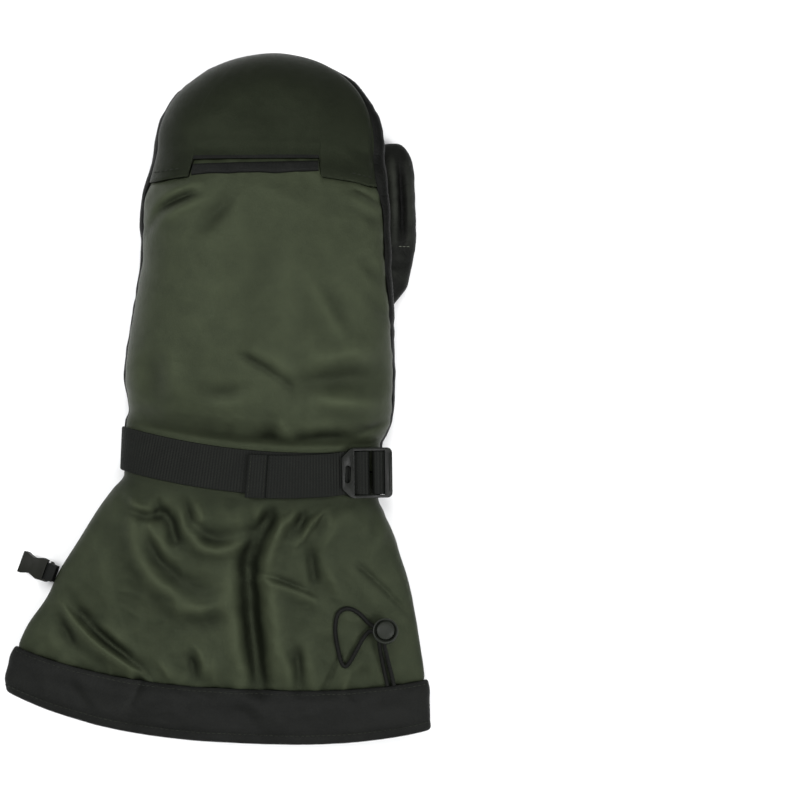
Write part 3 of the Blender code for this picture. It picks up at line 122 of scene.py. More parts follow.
# Camera straight above at the photograph's angle, turned in its own plane as the photograph is
CAMERA_X = 0.09935
CAMERA_Y = 0.00268
CAMERA_HEIGHT = 1.765
Light = collections.namedtuple("Light", "name place size power")
LIGHTS = (
    Light("left", (-1.15, 0.35, 1.75), 0.8, 29.0),
    Light("right", (1.25, -0.35, 1.75), 0.8, 32.0),
    Light("top", (0.05, 0.75, 2.15), 0.9, 18.0),
    Light("front", (0.10, -1.20, 1.55), 0.7, 9.0),
)
WORLD_STRENGTH = 0.42
LENS = 135
SENSOR = 36
FLOOR_SIZE = 6
FLOOR_LEVEL = -0.0004
LIGHTS_AIM = Vector((0.02, 0.0, 0.0))

# Where the even rows of the hand's meshes end and start, as shares of its length
EVEN_ROWS_END = 0.670
CAP_EVEN_START = 0.785

# Dark border painted as shade along the edge of the cap's notch, the height that folds are measured by,
# and the binding's room
NOTCH_PAINTED_SHADE = 0.0017
RELIEF_RANGE = 0.0036
RELIEF_ROUNDS = 50
NOTCH_CLEARANCE = 3 * GAP / HAND_WIDTH * 2

# Rows run from the hem to the start of the fingertips' dome. "at" is a share of the length
# of its part, left and right are shares of half that part's width, heights are shares of
# that part's height.
Section = collections.namedtuple("Section", "part at left right crown seam_left seam_right")
SECTIONS = (
    Section("hem", -1.000, 1.125, 0.865, 0.90, 0.42, 0.42),
    Section("hem", -0.940, 1.138, 0.863, 1.00, 0.44, 0.44),
    Section("hem", -0.870, 1.120, 0.853, 1.02, 0.44, 0.44),
    Section("hem", -0.800, 1.093, 0.842, 0.96, 0.42, 0.42),
    Section("hem", -0.720, 1.057, 0.824, 1.02, 0.44, 0.46),
    Section("hem", -0.580, 0.960, 0.790, 1.14, 0.48, 0.50),
    Section("hem", -0.435, 0.890, 0.751, 1.26, 0.52, 0.56),
    Section("hem", -0.290, 0.793, 0.692, 1.38, 0.56, 0.60),
    Section("hem", -0.210, 0.730, 0.655, 1.44, 0.58, 0.62),
    Section("hem", -0.145, 0.668, 0.612, 1.46, 0.58, 0.62),
    Section("wrist", -1.000, 1.027, 0.973, 1.00, 0.42, 0.42),
    Section("wrist", 1.000, 1.027, 0.973, 1.00, 0.42, 0.42),
    Section("hand", 0.092, 0.957, 0.966, 0.76, 0.30, 0.30),
    Section("hand", 0.125, 0.967, 0.996, 0.86, 0.33, 0.34),
    Section("hand", 0.208, 0.994, 1.003, 0.95, 0.35, 0.38),
    Section("hand", 0.333, 0.961, 0.980, 1.00, 0.35, 0.48),
    Section("hand", 0.416, 0.927, 0.965, 1.00, 0.35, 0.58),
    Section("hand", 0.500, 0.901, 0.935, 1.00, 0.34, 0.64),
    Section("hand", 0.624, 0.913, 0.911, 0.96, 0.33, 0.66),
    Section("hand", 0.707, 0.861, 0.884, 0.90, 0.31, 0.64),
    Section("hand", 0.768, 0.832, 0.856, 0.84, 0.30, 0.60),
)
PART_SIZES = {
    "hem": (CUFF_LENGTH, HEM_WIDTH / 2, HEM_HEIGHT),
    "wrist": (WRIST_ZONE, WRIST_WIDTH / 2, WRIST_HEIGHT),
    "hand": (HAND_LENGTH, HAND_WIDTH / 2, HAND_HEIGHT),
}
DOME_START = SECTIONS[-1].at * HAND_LENGTH
TOP_ROUNDNESS = 2.3
DOME_BLUNTNESS = 0.7
DOME_DRIFT = 0.03 * HAND_WIDTH
HEM_BOW = 0.102
HEM_BOW_CENTRE = 0.15
WRIST_ROW = next(row for row in SECTIONS if row.part == "wrist")
WRIST_SHIFT = WRIST_WIDTH * (WRIST_ROW.right - WRIST_ROW.left) / 4
FOLD_FADE = 0.013
DRIFT_REACH = 0.055

# The strap climbs a little towards the little finger: its middle line, as shares of the
# strap's width, is start + slope * side + curve * side ** 2.
StrapLine = collections.namedtuple("StrapLine", "start slope curve")
STRAP_ON_TOP = StrapLine(-0.076, -0.150, 0.266)
STRAP_BELOW = StrapLine(0.190, -0.150, 0.0)

# How far the leather of the palm comes up over the sides, as angles round the section
SeamRow = collections.namedtuple("SeamRow", "at right left")
SIDE_SEAMS = (
    SeamRow(0.00, 0.04, 0.04),
    SeamRow(0.25, 0.05, 0.05),
    SeamRow(0.45, 0.24, 0.08),
    SeamRow(0.62, 0.30, 0.16),
    SeamRow(0.72, 0.46, 0.24),
    SeamRow(0.80, 0.42, 0.20),
    SeamRow(1.00, 0.10, 0.10),
)

# Lower edge of the fingertip cap with the notch of the pocket, across and along the hand
EdgeRow = collections.namedtuple("EdgeRow", "side at")
CAP_EDGE = (
    EdgeRow(-1.000, 0.676),
    EdgeRow(-0.640, 0.690),
    EdgeRow(-0.628, 0.732),
    EdgeRow(0.448, 0.746),
    EdgeRow(0.460, 0.701),
    EdgeRow(1.000, 0.684),
)

# Swelling of the hem band's upper edge where the draw cord leaves its channel
CordMouth = collections.namedtuple("CordMouth", "x reach height")
CORD_MOUTH = CordMouth(0.0838, 0.0090, 0.0026)

# Rows of the thumb: places and widths are shares of the thumb's own length, width, height
ThumbRow = collections.namedtuple("ThumbRow", "at shift width height bottom")
THUMB_ROWS = (
    ThumbRow(0.00, -0.26, 0.66, 0.76, 0.26),
    ThumbRow(0.12, -0.17, 0.80, 0.82, 0.16),
    ThumbRow(0.24, -0.05, 0.93, 0.98, 0.02),
    ThumbRow(0.48, 0.00, 1.00, 1.00, 0.02),
    ThumbRow(0.72, -0.01, 0.96, 0.98, 0.02),
    ThumbRow(0.80, -0.01, 0.92, 0.96, 0.02),
)
THUMB_DOME_START = THUMB_ROWS[-1].at
THUMB_TIP_SHIFT = 0.20

# The draw cord's route, in metres from the middle of the strap
CORD_ROUTE = (
    (0.0820, -0.1233, 0.0226), (0.0802, -0.1165, 0.0234), (0.0782, -0.1085, 0.0256),
    (0.0769, -0.1025, 0.0286), (0.0764, -0.0990, 0.0304), (0.0756, -0.0941, 0.0296),
    (0.0714, -0.0914, 0.0292), (0.0690, -0.0928, 0.0289), (0.0659, -0.0973, 0.0289),
    (0.0619, -0.1056, 0.0284), (0.0592, -0.1106, 0.0277), (0.0570, -0.1128, 0.0273),
    (0.0546, -0.1102, 0.0271), (0.0526, -0.1036, 0.0270), (0.0509, -0.0960, 0.0290),
    (0.0504, -0.0890, 0.0303), (0.0516, -0.0822, 0.0307), (0.0558, -0.0790, 0.0304),
    (0.0606, -0.0796, 0.0297), (0.0654, -0.0828, 0.0290), (0.0688, -0.0863, 0.0288),
    (0.0720, -0.0886, 0.0288), (0.0781, -0.0925, 0.0294), (0.0792, -0.0996, 0.0304),
    (0.0802, -0.1035, 0.0284), (0.0818, -0.1095, 0.0252), (0.0840, -0.1168, 0.0230),
    (0.0856, -0.1230, 0.0224),
)
CORD_STEPS_PER_STRETCH = 2

# Fineness of the meshes, and small shapes and distances in them
CURVE_STEPS = 12
WEBBING_STEP = 0.00042
THREAD_SIDES = 6
SPINDLE = ((0.0, 0.25), (0.12, 0.8), (0.5, 1.0), (0.88, 0.8), (1.0, 0.25))
RIB_HEIGHT = 0.00012
RIB_PITCH = 0.0017
SEAM_ROOM = 0.004
ROW_START = 0.0006
HAIR = 0.0001
GROUND_SOFTNESS = 0.004
THUMB_SQUARENESS = 0.85
THUMB_INSIDE = -0.0012
THUMB_ROUNDNESS = 2.35
CREASE_STEPS = 10
TURNED_SIDES = 72
ROUNDING_STEPS = 4

# Angles from which an edge is shaded as sharp, on cloth, turned plastic and rounded plastic,
# and from which an edge of a hard piece is rounded
CLOTH_SHARP = math.radians(50)
PLASTIC_SHARP = math.radians(38)
BEVEL_SHARP = math.radians(48)
BEVEL_FROM = math.radians(32)

# The bands of a wave texture are this many metres apart, divided by its scale.
WAVE_PERIOD = 2 * math.pi / 20

# The cuff's folds are lower round the middle of the cord's loop.
CALM_X = 0.068
CALM_Y = -0.098
CALM_REACH = 0.030
MILLIMETRE = 0.001

# Places below are in pixels of the photograph, and widths and heights in millimetres. Positive
# creases stand out, and negative ones lie in.
PIXEL = 0.00058
ROLL = math.radians(2.3)
PIVOT_X = 255
PIVOT_Y = 468
TACK_ROW = 246.0
TACK_COLUMNS = (398.5, 402, 406, 410)
Crease = collections.namedtuple("Crease", "x1 y1 bend_x bend_y x2 y2 width height kind",
                                defaults=("soft",))
CREASES = [Crease(*row) for row in (
    (392, 386, 348, 370, 298, 388, 9.5, -4.0), (396, 404, 345, 405, 318, 398, 5.5, 2.2),
    (385, 350, 350, 356, 318, 366, 7.0, 2.2), (242, 355, 262, 362, 294, 388, 3.2, -1.6, "sharp"),
    (252, 352, 276, 360, 300, 378, 5.0, 0.9), (306, 272, 330, 320, 368, 366, 6.0, 1.5),
    (296, 262, 284, 300, 288, 338, 9.0, 1.0), (322, 282, 340, 310, 352, 340, 5.0, -0.9),
    (150, 352, 158, 372, 152, 400, 8.0, -2.2), (176, 362, 172, 380, 182, 398, 7.0, 1.1),
    (206, 392, 224, 396, 244, 390, 5.0, -1.3), (214, 404, 232, 406, 250, 400, 4.0, 0.7),
    (254, 447, 270, 430, 284, 446, 4.5, -4.2, "sharp"), (284, 428, 290, 438, 294, 450, 3.5, 2.6),
    (292, 442, 320, 434, 356, 438, 4.2, -4.0, "sharp"), (296, 433, 322, 428, 352, 430, 3.6, 1.2),
    (350, 449, 364, 440, 378, 438, 3.6, 4.2), (362, 432, 376, 426, 390, 420, 3.0, -2.4, "sharp"),
    (130, 428, 140, 424, 158, 426, 4.0, 1.1), (140, 408, 150, 418, 150, 436, 5.0, -1.2),
    (172, 440, 190, 434, 214, 442, 3.6, 1.0), (224, 446, 232, 436, 236, 424, 3.4, -1.0),
    (158, 214, 172, 202, 197, 196, 3.4, -3.0, "sharp"), (150, 222, 160, 194, 200, 187, 4.0, 1.9),
    (156, 226, 178, 212, 206, 202, 4.0, 1.6), (200, 234, 222, 216, 234, 196, 5.5, -1.7),
    (144, 240, 150, 228, 160, 218, 3.4, -2.6), (356, 192, 366, 196, 384, 208, 2.6, -1.7, "sharp"),
    (350, 200, 366, 206, 380, 216, 3.2, 1.0), (368, 214, 376, 224, 388, 232, 4.0, -1.4),
    (366, 262, 374, 274, 388, 282, 4.0, -1.3), (374, 300, 382, 310, 390, 322, 3.6, -1.1),
    (132, 300, 140, 320, 136, 344, 5.0, -0.9), (140, 262, 160, 268, 176, 286, 8.0, 0.8),
    (216, 214, 208, 270, 222, 330, 16.0, 0.9), (361, 88, 376, 122, 372, 188, 1.1, -1.1, "sharp"),
    (160, 118, 154, 150, 150, 192, 1.1, -0.8, "sharp"), (176, 104, 190, 128, 186, 160, 7.0, 0.5),
    (268, 62, 300, 84, 352, 140, 16.0, 0.5), (340, 150, 352, 160, 370, 168, 3.6, 0.6),
    (278, 500, 244, 548, 249, 580, 7.0, -3.9), (249, 572, 250, 632, 261, 690, 7.0, -4.1),
    (250, 560, 252, 620, 260, 684, 3.6, -1.0), (286, 512, 274, 540, 266, 568, 4.0, 2.4),
    (266, 566, 278, 620, 276, 684, 6.0, 2.0), (232, 590, 234, 640, 246, 684, 5.0, 1.2),
    (336, 498, 318, 512, 302, 540, 4.4, 3.4, "fold"), (326, 500, 308, 512, 294, 536, 4.2, -2.4),
    (352, 500, 330, 528, 322, 552, 5.0, 1.2), (312, 546, 312, 566, 316, 586, 3.6, -2.0),
    (326, 566, 334, 578, 342, 600, 4.2, 1.4), (258, 571, 284, 580, 318, 594, 2.4, -1.2, "sharp"),
    (260, 578, 288, 588, 320, 602, 3.6, 0.9), (136, 510, 122, 572, 200, 608, 6.0, 2.6),
    (148, 522, 150, 566, 196, 586, 5.0, -1.3), (146, 516, 158, 540, 170, 556, 3.4, 1.2),
    (186, 512, 196, 572, 254, 536, 4.2, 2.4), (200, 520, 212, 548, 244, 530, 5.5, -1.6),
    (160, 506, 174, 520, 177, 546, 4.6, -2.8), (226, 490, 236, 506, 246, 490, 3.2, -3.0),
    (258, 496, 262, 506, 256, 522, 3.4, 1.4), (172, 607, 198, 612, 230, 602, 4.4, 1.2),
    (176, 622, 206, 628, 240, 616, 6.0, -0.8), (62, 604, 86, 640, 142, 674, 4.0, 3.0, "fold"),
    (68, 596, 94, 632, 142, 662, 4.2, -2.3), (92, 622, 118, 636, 142, 662, 3.6, 1.8),
    (58, 612, 62, 628, 74, 646, 3.6, -1.9), (46, 632, 52, 640, 58, 656, 4.0, 1.0),
    (140, 668, 140, 690, 126, 706, 4.0, -1.8), (198, 648, 204, 656, 206, 676, 2.6, 1.5),
    (190, 656, 194, 664, 194, 680, 2.4, -1.2), (214, 656, 212, 668, 214, 682, 2.4, 0.9),
    (160, 664, 168, 670, 170, 680, 2.6, 0.9), (280, 650, 290, 664, 290, 690, 4.0, 1.4),
    (304, 640, 312, 664, 310, 688, 4.4, 1.5), (298, 650, 300, 668, 299, 690, 2.6, -1.1),
    (340, 656, 334, 668, 325, 690, 1.8, -1.5, "sharp"), (350, 676, 346, 684, 344, 694, 3.0, 1.0),
    (366, 660, 364, 672, 366, 692, 3.0, -0.9), (400, 500, 384, 524, 366, 556, 6.0, 1.4),
    (384, 518, 372, 534, 366, 552, 3.6, -1.4), (360, 566, 384, 586, 414, 622, 2.8, -1.7, "sharp"),
    (346, 562, 366, 588, 384, 612, 5.0, 0.8), (398, 556, 404, 580, 412, 600, 5.0, 0.9),
    (92, 560, 104, 580, 108, 606, 7.0, 0.9), (108, 520, 98, 548, 84, 566, 6.0, -0.9),
    (128, 498, 138, 508, 152, 511, 3.4, 2.2), (128, 505, 148, 520, 164, 512, 3.6, -2.2),
    (192, 490, 202, 508, 204, 524, 3.4, 1.8), (184, 492, 190, 510, 190, 528, 3.2, -2.2),
    (300, 500, 292, 516, 278, 534, 3.4, 1.6), (368, 502, 372, 512, 372, 526, 4.0, -1.0),
    (120, 690, 150, 706, 196, 716, 9.0, 0.9), (232, 706, 250, 718, 264, 736, 7.0, -1.0),
    (300, 708, 320, 716, 350, 712, 7.0, 0.8), (60, 676, 78, 690, 86, 708, 5.0, -0.9),
)]
THUMB_CREASES = [Crease(*row) for row in (
    (399, 158, 405, 200, 403, 238, 2.8, -2.6, "sharp"),
    (392, 156, 395, 200, 396, 240, 2.8, 1.6),
    (408, 164, 411, 208, 408, 242, 2.6, 1.5),
    (392, 262, 400, 268, 414, 262, 2.0, -1.0, "sharp"),
    (390, 284, 400, 290, 410, 286, 4.0, -0.9),
)]


def smoothstep(low, high, value):
    t = np.clip((value - low) / (high - low), 0.0, 1.0)
    return t * t * (3.0 - 2.0 * t)


def read_column(places, values, at):
    """Smooth reading of one column of a table that never overshoots its rows."""
    places = np.asarray(places, dtype=float)
    values = np.asarray(values, dtype=float)
    rises = np.diff(values) / np.diff(places)
    slopes = np.zeros(len(values))
    same_way = rises[:-1] * rises[1:] > 0.0
    both = np.where(same_way, rises[:-1] + rises[1:], 1.0)
    slopes[1:-1] = np.where(same_way, 2.0 * rises[:-1] * rises[1:] / both, 0.0)
    row = np.clip(np.searchsorted(places, at) - 1, 0, len(places) - 2)
    span = places[row + 1] - places[row]
    t = np.clip((at - places[row]) / span, 0.0, 1.0)
    start = (2 * t**3 - 3 * t**2 + 1) * values[row] + (t**3 - 2 * t**2 + t) * span * slopes[row]
    end = (3 * t**2 - 2 * t**3) * values[row + 1] + (t**3 - t**2) * span * slopes[row + 1]
    return start + end


def section_column(name, at):
    places = []
    values = []
    for row in SECTIONS:
        length, half_width, height = PART_SIZES[row.part]
        places.append(row.at * length)
        unit = half_width if name in ("left", "right") else height
        values.append(getattr(row, name) * unit)
    return read_column(places, values, at)


def signed_power(value, power):
    return np.sign(value) * np.abs(value) ** power


def side_of(u):
    """Place across the section, from -1 at the little finger to 1 at the thumb."""
    return signed_power(np.cos(u), 2.0 / TOP_ROUNDNESS)


def angle_of(side):
    return np.arccos(signed_power(side, TOP_ROUNDNESS / 2.0))


def raised_floor(x, y, v):
    """Height that the underside keeps free for the strap and for the thumb."""
    strap = STRAP_ROOM * (1.0 - smoothstep(WRIST_ZONE, WRIST_ZONE + 0.4 * STRAP_WIDTH, np.abs(v)))
    across = smoothstep(THUMB_CENTRE - 0.95 * THUMB_WIDTH, THUMB_CENTRE - 0.55 * THUMB_WIDTH, x)
    rise = 0.14 * THUMB_WIDTH
    thumb_tip = THUMB_ROOT + THUMB_LENGTH
    along = smoothstep(CROTCH - rise, CROTCH + rise, y) * (
        1.0 - smoothstep(thumb_tip + 0.5 * rise, thumb_tip + 3.5 * rise, y))
    return np.maximum(strap, THUMB_ROOM * across * along)


def soft_ground(height, softness):
    """Zero below the ground, with a rounded start above it."""
    above = np.maximum(height, 0.0)
    return np.where(above < softness, above**2 / (2 * softness), above - softness / 2)


def glove_form(u, v, with_folds=False):
    """Outer form: u runs round the section from the thumb side over the back of the hand."""
    u, v = np.broadcast_arrays(np.asarray(u, dtype=float), np.asarray(v, dtype=float))
    dome = HAND_LENGTH - DOME_START
    turn = np.clip((v - DOME_START) / dome, 0.0, 1.0) * math.pi / 2
    at = np.minimum(v, DOME_START)
    left, right, crown, seam_left, seam_right = (section_column(name, at) for name in Section._fields[2:])
    narrow = np.maximum(np.cos(turn), 0.0)
    side = side_of(u)
    lift = np.abs(np.sin(u)) ** (2.0 / TOP_ROUNDNESS)
    over = np.sin(u) >= 0.0
    x = ((right - left) / 2 * narrow + DOME_DRIFT * (1.0 - narrow)
         + (right + left) / 2 * narrow * side)

    near = 1.0 - smoothstep(WRIST_ZONE, WRIST_ZONE + DRIFT_REACH, np.abs(v))
    drift = np.where(over, strap_line(side, True), strap_line(side, False)) * near
    bow = 1.0 - HEM_BOW * np.abs(side - HEM_BOW_CENTRE) ** 2.5 * smoothstep(0.08, 0.5, -v / CUFF_LENGTH)
    y = np.where(v > DOME_START, DOME_START + dome * np.sin(turn), v * bow) + drift

    seam = seam_left + (seam_right - seam_left) * (side + 1) / 2
    fade = smoothstep(WRIST_ZONE, WRIST_ZONE + FOLD_FADE, np.abs(v)) * np.where(over, lift, 0.0)
    folds = np.zeros(x.shape)
    if with_folds:
        shows = fade * narrow > 1e-3
        folds[shows] = fold_height(x[shows], y[shows])
    top = seam + (crown - seam) * lift + folds * fade * narrow
    floor = raised_floor(x, y, v)
    low = floor + soft_ground((seam - floor) * (1.0 - 1.3 * lift), GROUND_SOFTNESS)
    start_of_low = floor + soft_ground(seam - floor, GROUND_SOFTNESS)
    low = low + (seam - start_of_low) * (1.0 - np.minimum(lift * 1.3, 1.0))
    z = np.where(over, top, low)
    z = TIP_HEIGHT + (z - TIP_HEIGHT) * narrow**DOME_BLUNTNESS
    return np.stack([x, y, z], axis=-1)


def outward(form, u, v):
    """Unit normals of a form, pointing out of it."""
    du, dv = 1e-4, 1e-5
    along_u = form(u + du, v) - form(u - du, v)
    along_v = form(u, v + dv) - form(u, v - dv)
    normal = np.cross(along_v, along_u)
    size = np.linalg.norm(normal, axis=-1, keepdims=True)
    tip = size < 1e-13
    return np.where(tip, np.array([0.0, 1.0, 0.0]), normal / np.where(tip, 1.0, size))


def layer(form, u, v, offset):
    """Points of a form moved outward by an offset, never below the table."""
    points = form(u, v) + outward(form, u, v) * np.asarray(offset)[..., None]
    points[..., 2] = np.maximum(points[..., 2], 0.0)
    return points


def seam_angle(v, sides):
    """Angle of the side seam on the thumb's side (1) or the little finger's side (-1)."""
    places = [row.at * HAND_LENGTH for row in SIDE_SEAMS]
    if sides > 0:
        return read_column(places, [row.right for row in SIDE_SEAMS], v)
    return math.pi - read_column(places, [row.left for row in SIDE_SEAMS], v)


def cap_edge(side, clearance):
    """Lower edge of the cap, moved along the hand by a clearance."""
    sides, places = zip(*CAP_EDGE)
    return np.interp(side, sides, np.array(places) * HAND_LENGTH) + clearance


def thumb_form(grow):
    """Outer form of the thumb, made larger all round by an amount."""
    def form(u, v):
        u, v = np.broadcast_arrays(np.asarray(u, dtype=float), np.asarray(v, dtype=float))
        turn = np.clip((v - THUMB_DOME_START) / (1.0 - THUMB_DOME_START), 0.0, 1.0) * math.pi / 2
        at = np.minimum(v, THUMB_DOME_START)
        places = [row.at for row in THUMB_ROWS]
        shift, width, height, bottom = (
            read_column(places, [getattr(row, name) for row in THUMB_ROWS], at)
            for name in ("shift", "width", "height", "bottom"))
        narrow = np.maximum(np.cos(turn), 0.0)
        centre_x = THUMB_CENTRE + (shift + THUMB_TIP_SHIFT * (1.0 - narrow)) * THUMB_WIDTH
        centre_z = (bottom + height / 2) * THUMB_HEIGHT
        half_width = width * THUMB_WIDTH / 2 * narrow + grow
        half_height = height * THUMB_HEIGHT / 2 * narrow**DOME_BLUNTNESS + grow
        x = centre_x + half_width * signed_power(np.cos(u), THUMB_SQUARENESS)
        z = centre_z + half_height * signed_power(np.sin(u), THUMB_SQUARENESS)
        dome = THUMB_LENGTH * (1.0 - THUMB_DOME_START)
        y = THUMB_ROOT + THUMB_LENGTH * at + (dome + grow) * np.sin(turn)
        return np.stack([x, y, z], axis=-1)
    return form


def strap_line(side, over):
    line = STRAP_ON_TOP if over else STRAP_BELOW
    return (line.start + line.slope * side + line.curve * side**2) * STRAP_WIDTH


def wrist_points(angles, offset):
    """Rows of a webbing's path round the wrist's section, moved out by an offset."""
    found = []
    for angle in angles:
        step = 1e-3
        over = math.sin(angle) >= 0
        near = np.array([angle - step, angle, angle + step])
        rows = layer(glove_form, near, np.zeros(3), np.full(3, offset))
        rows[:, 1] = strap_line(side_of(near), over)
        out = outward(glove_form, near[1:2], np.zeros(1))[0]
        across = np.cross(out, rows[2] - rows[0])
        across = across / np.linalg.norm(across) * (1.0 if across[1] > 0 else -1.0)
        found.append((*rows[1], *across))
    return found


def wrist_top(x):
    """Height of the wrist's back at a place across it."""
    left, right = (float(section_column(name, 0.0)) for name in ("left", "right"))
    side = (x - (right - left) / 2) / ((right + left) / 2)
    angle = float(angle_of(np.clip(side, -1.0, 1.0)))
    return float(glove_form(angle, 0.0)[2])


def buckle_frame():
    """Place of the buckle: local X towards the thumb, along the strap, Z off the wrist."""
    reach = BUCKLE_LENGTH / 2 * math.cos(BUCKLE_TILT)
    lift = 0.0
    for step in range(21):
        local = -reach + 2 * reach * step / 20
        below = wrist_top(BUCKLE_CENTRE + local)
        lift = max(lift, below + local * math.tan(BUCKLE_TILT))
    height = lift + STRAP_CLEARANCE / math.cos(BUCKLE_TILT)
    side = (BUCKLE_CENTRE - WRIST_SHIFT) / (WRIST_WIDTH / 2)
    slope = STRAP_ON_TOP.slope + 2 * STRAP_ON_TOP.curve * side
    turn = math.atan(0.5 * STRAP_WIDTH * slope / (WRIST_WIDTH / 2))
    place = Matrix.Translation((BUCKLE_CENTRE, strap_line(side, True), height))
    return place @ Matrix.Rotation(turn, 4, "Z") @ Matrix.Rotation(BUCKLE_TILT, 4, "Y")


def buckle_point(x, z):
    """Row of a webbing's path at a point of the buckle's own X-Z plane."""
    place = buckle_frame()
    return (*(place @ Vector((x, 0.0, z))), *(place.to_3x3() @ Vector((0.0, 1.0, 0.0))))


def path_lengths(path):
    """Length along a path up to each of its rows."""
    return np.concatenate([[0.0], np.cumsum(np.linalg.norm(np.diff(path[:, :3], axis=0), axis=1))])


def path_at(path, run, place):
    """Row of a path at a length along it, or one for each length."""
    return np.stack([np.interp(place, run, column) for column in path.T], axis=-1)


def smooth_curve(points, steps):
    """Rows of a smooth curve through the given ones, so many to each stretch."""
    points = np.array(points)
    padded = np.vstack([2 * points[0] - points[1], points, 2 * points[-1] - points[-2]])
    fine = []
    for index in range(1, len(padded) - 2):
        before, start, end, after = padded[index - 1:index + 3]
        for share in np.arange(steps) / steps:
            fine.append(0.5 * (2 * start + (end - before) * share
                               + (2 * before - 5 * start + 4 * end - after) * share**2
                               + (3 * start - before - 3 * end + after) * share**3))
    fine.append(points[-1])
    return np.array(fine)


def spaced(points):
    """Rows spread evenly along a smooth curve through the given ones."""
    fine = smooth_curve(points, CURVE_STEPS)
    run = path_lengths(fine)
    count = max(int(round(run[-1] / WEBBING_STEP)), 2)
    return path_at(fine, run, np.linspace(0.0, run[-1], count + 1))


def wrapped(bar_x, bar_width, degrees):
    """Middle line of webbing round a bar of the buckle, at angles seen along the bar."""
    reach = BAR_EDGE + GAP + STRAP_THICKNESS / 2
    middle = (BAR_BOTTOM + BAR_TOP) / 2
    points = []
    for degree in degrees:
        cosine, sine = math.cos(math.radians(degree)), math.sin(math.radians(degree))
        corner_x = np.sign(round(cosine, 6)) * (bar_width / 2 - BAR_EDGE)
        corner_z = np.sign(round(sine, 6)) * (BAR_THICKNESS / 2 - BAR_EDGE)
        points.append(buckle_point(bar_x + corner_x + reach * cosine,
                                   middle + corner_z + reach * sine))
    return points


def from_photo(px, py):
    """Place on the table under a pixel of the photograph."""
    dx = (px - PIVOT_X) * PIXEL
    dy = (PIVOT_Y - py) * PIXEL
    return dx * math.cos(ROLL) - dy * math.sin(ROLL), dx * math.sin(ROLL) + dy * math.cos(ROLL)


def crease_height(x, y, creases):
    """Height that a table of creases adds to cloth seen from above."""
    total = np.zeros(x.shape)
    share = np.linspace(0.0, 1.0, CREASE_STEPS + 1)
    for crease in creases:
        width = crease.width * MILLIMETRE
        line_x, line_y = from_photo(*(
            (1 - share)**2 * start + 2 * (1 - share) * share * bend + share**2 * end
            for start, bend, end in zip(crease[0:2], crease[2:4], crease[4:6])))
        reach = 4.5 * width
        near = ((x > line_x.min() - reach) & (x < line_x.max() + reach)
                & (y > line_y.min() - reach) & (y < line_y.max() + reach))
        if not near.any():
            continue
        px, py = x[near], y[near]
        nearest = np.full(px.shape, 9.0)
        side = np.zeros(px.shape)
        along = np.zeros(px.shape)
        for index in range(CREASE_STEPS):
            run_x, run_y = line_x[index + 1] - line_x[index], line_y[index + 1] - line_y[index]
            t = ((px - line_x[index]) * run_x + (py - line_y[index]) * run_y) / (run_x**2 + run_y**2)
            t = np.clip(t, 0.0, 1.0)
            away_x, away_y = px - line_x[index] - t * run_x, py - line_y[index] - t * run_y
            away = np.hypot(away_x, away_y)
            better = away < nearest
            nearest = np.where(better, away, nearest)
            side = np.where(better, np.sign(run_x * away_y - run_y * away_x), side)
            along = np.where(better, (index + t) / CREASE_STEPS, along)
        d = nearest / width
        if crease.kind == "soft":
            profile = np.exp(-d**2)
        elif crease.kind == "sharp":
            profile = np.exp(-1.9 * (np.sqrt(d**2 + 0.25) - 0.5))
        else:
            profile = np.where(side > 0, np.exp(-(d / 0.45)**2), np.exp(-(d / 1.25)**2))
        taper = np.sin(math.pi * (0.06 + 0.88 * along)) ** 0.6
        total[near] += crease.height * MILLIMETRE * profile * taper
    return total


def noise(x, y, size, seed):
    """Smooth noise on a plane from -1 to 1, the same on each run."""
    turn = 0.7 * seed
    gx = (x * math.cos(turn) - y * math.sin(turn)) / size + 37.0
    gy = (x * math.sin(turn) + y * math.cos(turn)) / size + 59.0
    ix, iy = np.floor(gx), np.floor(gy)
    fx, fy = gx - ix, gy - iy

    def pull(step_x, step_y):
        value = np.sin((ix + step_x) * 127.1 + (iy + step_y) * 311.7 + seed * 74.7) * 43758.5453
        angle = (value - np.floor(value)) * 2 * math.pi
        return np.cos(angle) * (fx - step_x) + np.sin(angle) * (fy - step_y)

    sx = fx**3 * (fx * (fx * 6 - 15) + 10)
    sy = fy**3 * (fy * (fy * 6 - 15) + 10)
    low = pull(0, 0) * (1 - sx) + pull(1, 0) * sx
    high = pull(0, 1) * (1 - sx) + pull(1, 1) * sx
    return 1.5 * (low * (1 - sy) + high * sy)


def crinkle(x, y, size, seed):
    """Small sharp creases of thin coated cloth, from 0 to about 1."""
    bent_x = x + 0.35 * size * noise(x, y, 1.7 * size, seed + 11)
    bent_y = y + 0.35 * size * noise(x, y, 1.7 * size, seed + 12)
    return 1.0 - np.minimum(2.2 * np.abs(noise(bent_x, bent_y, size, seed)), 1.0)


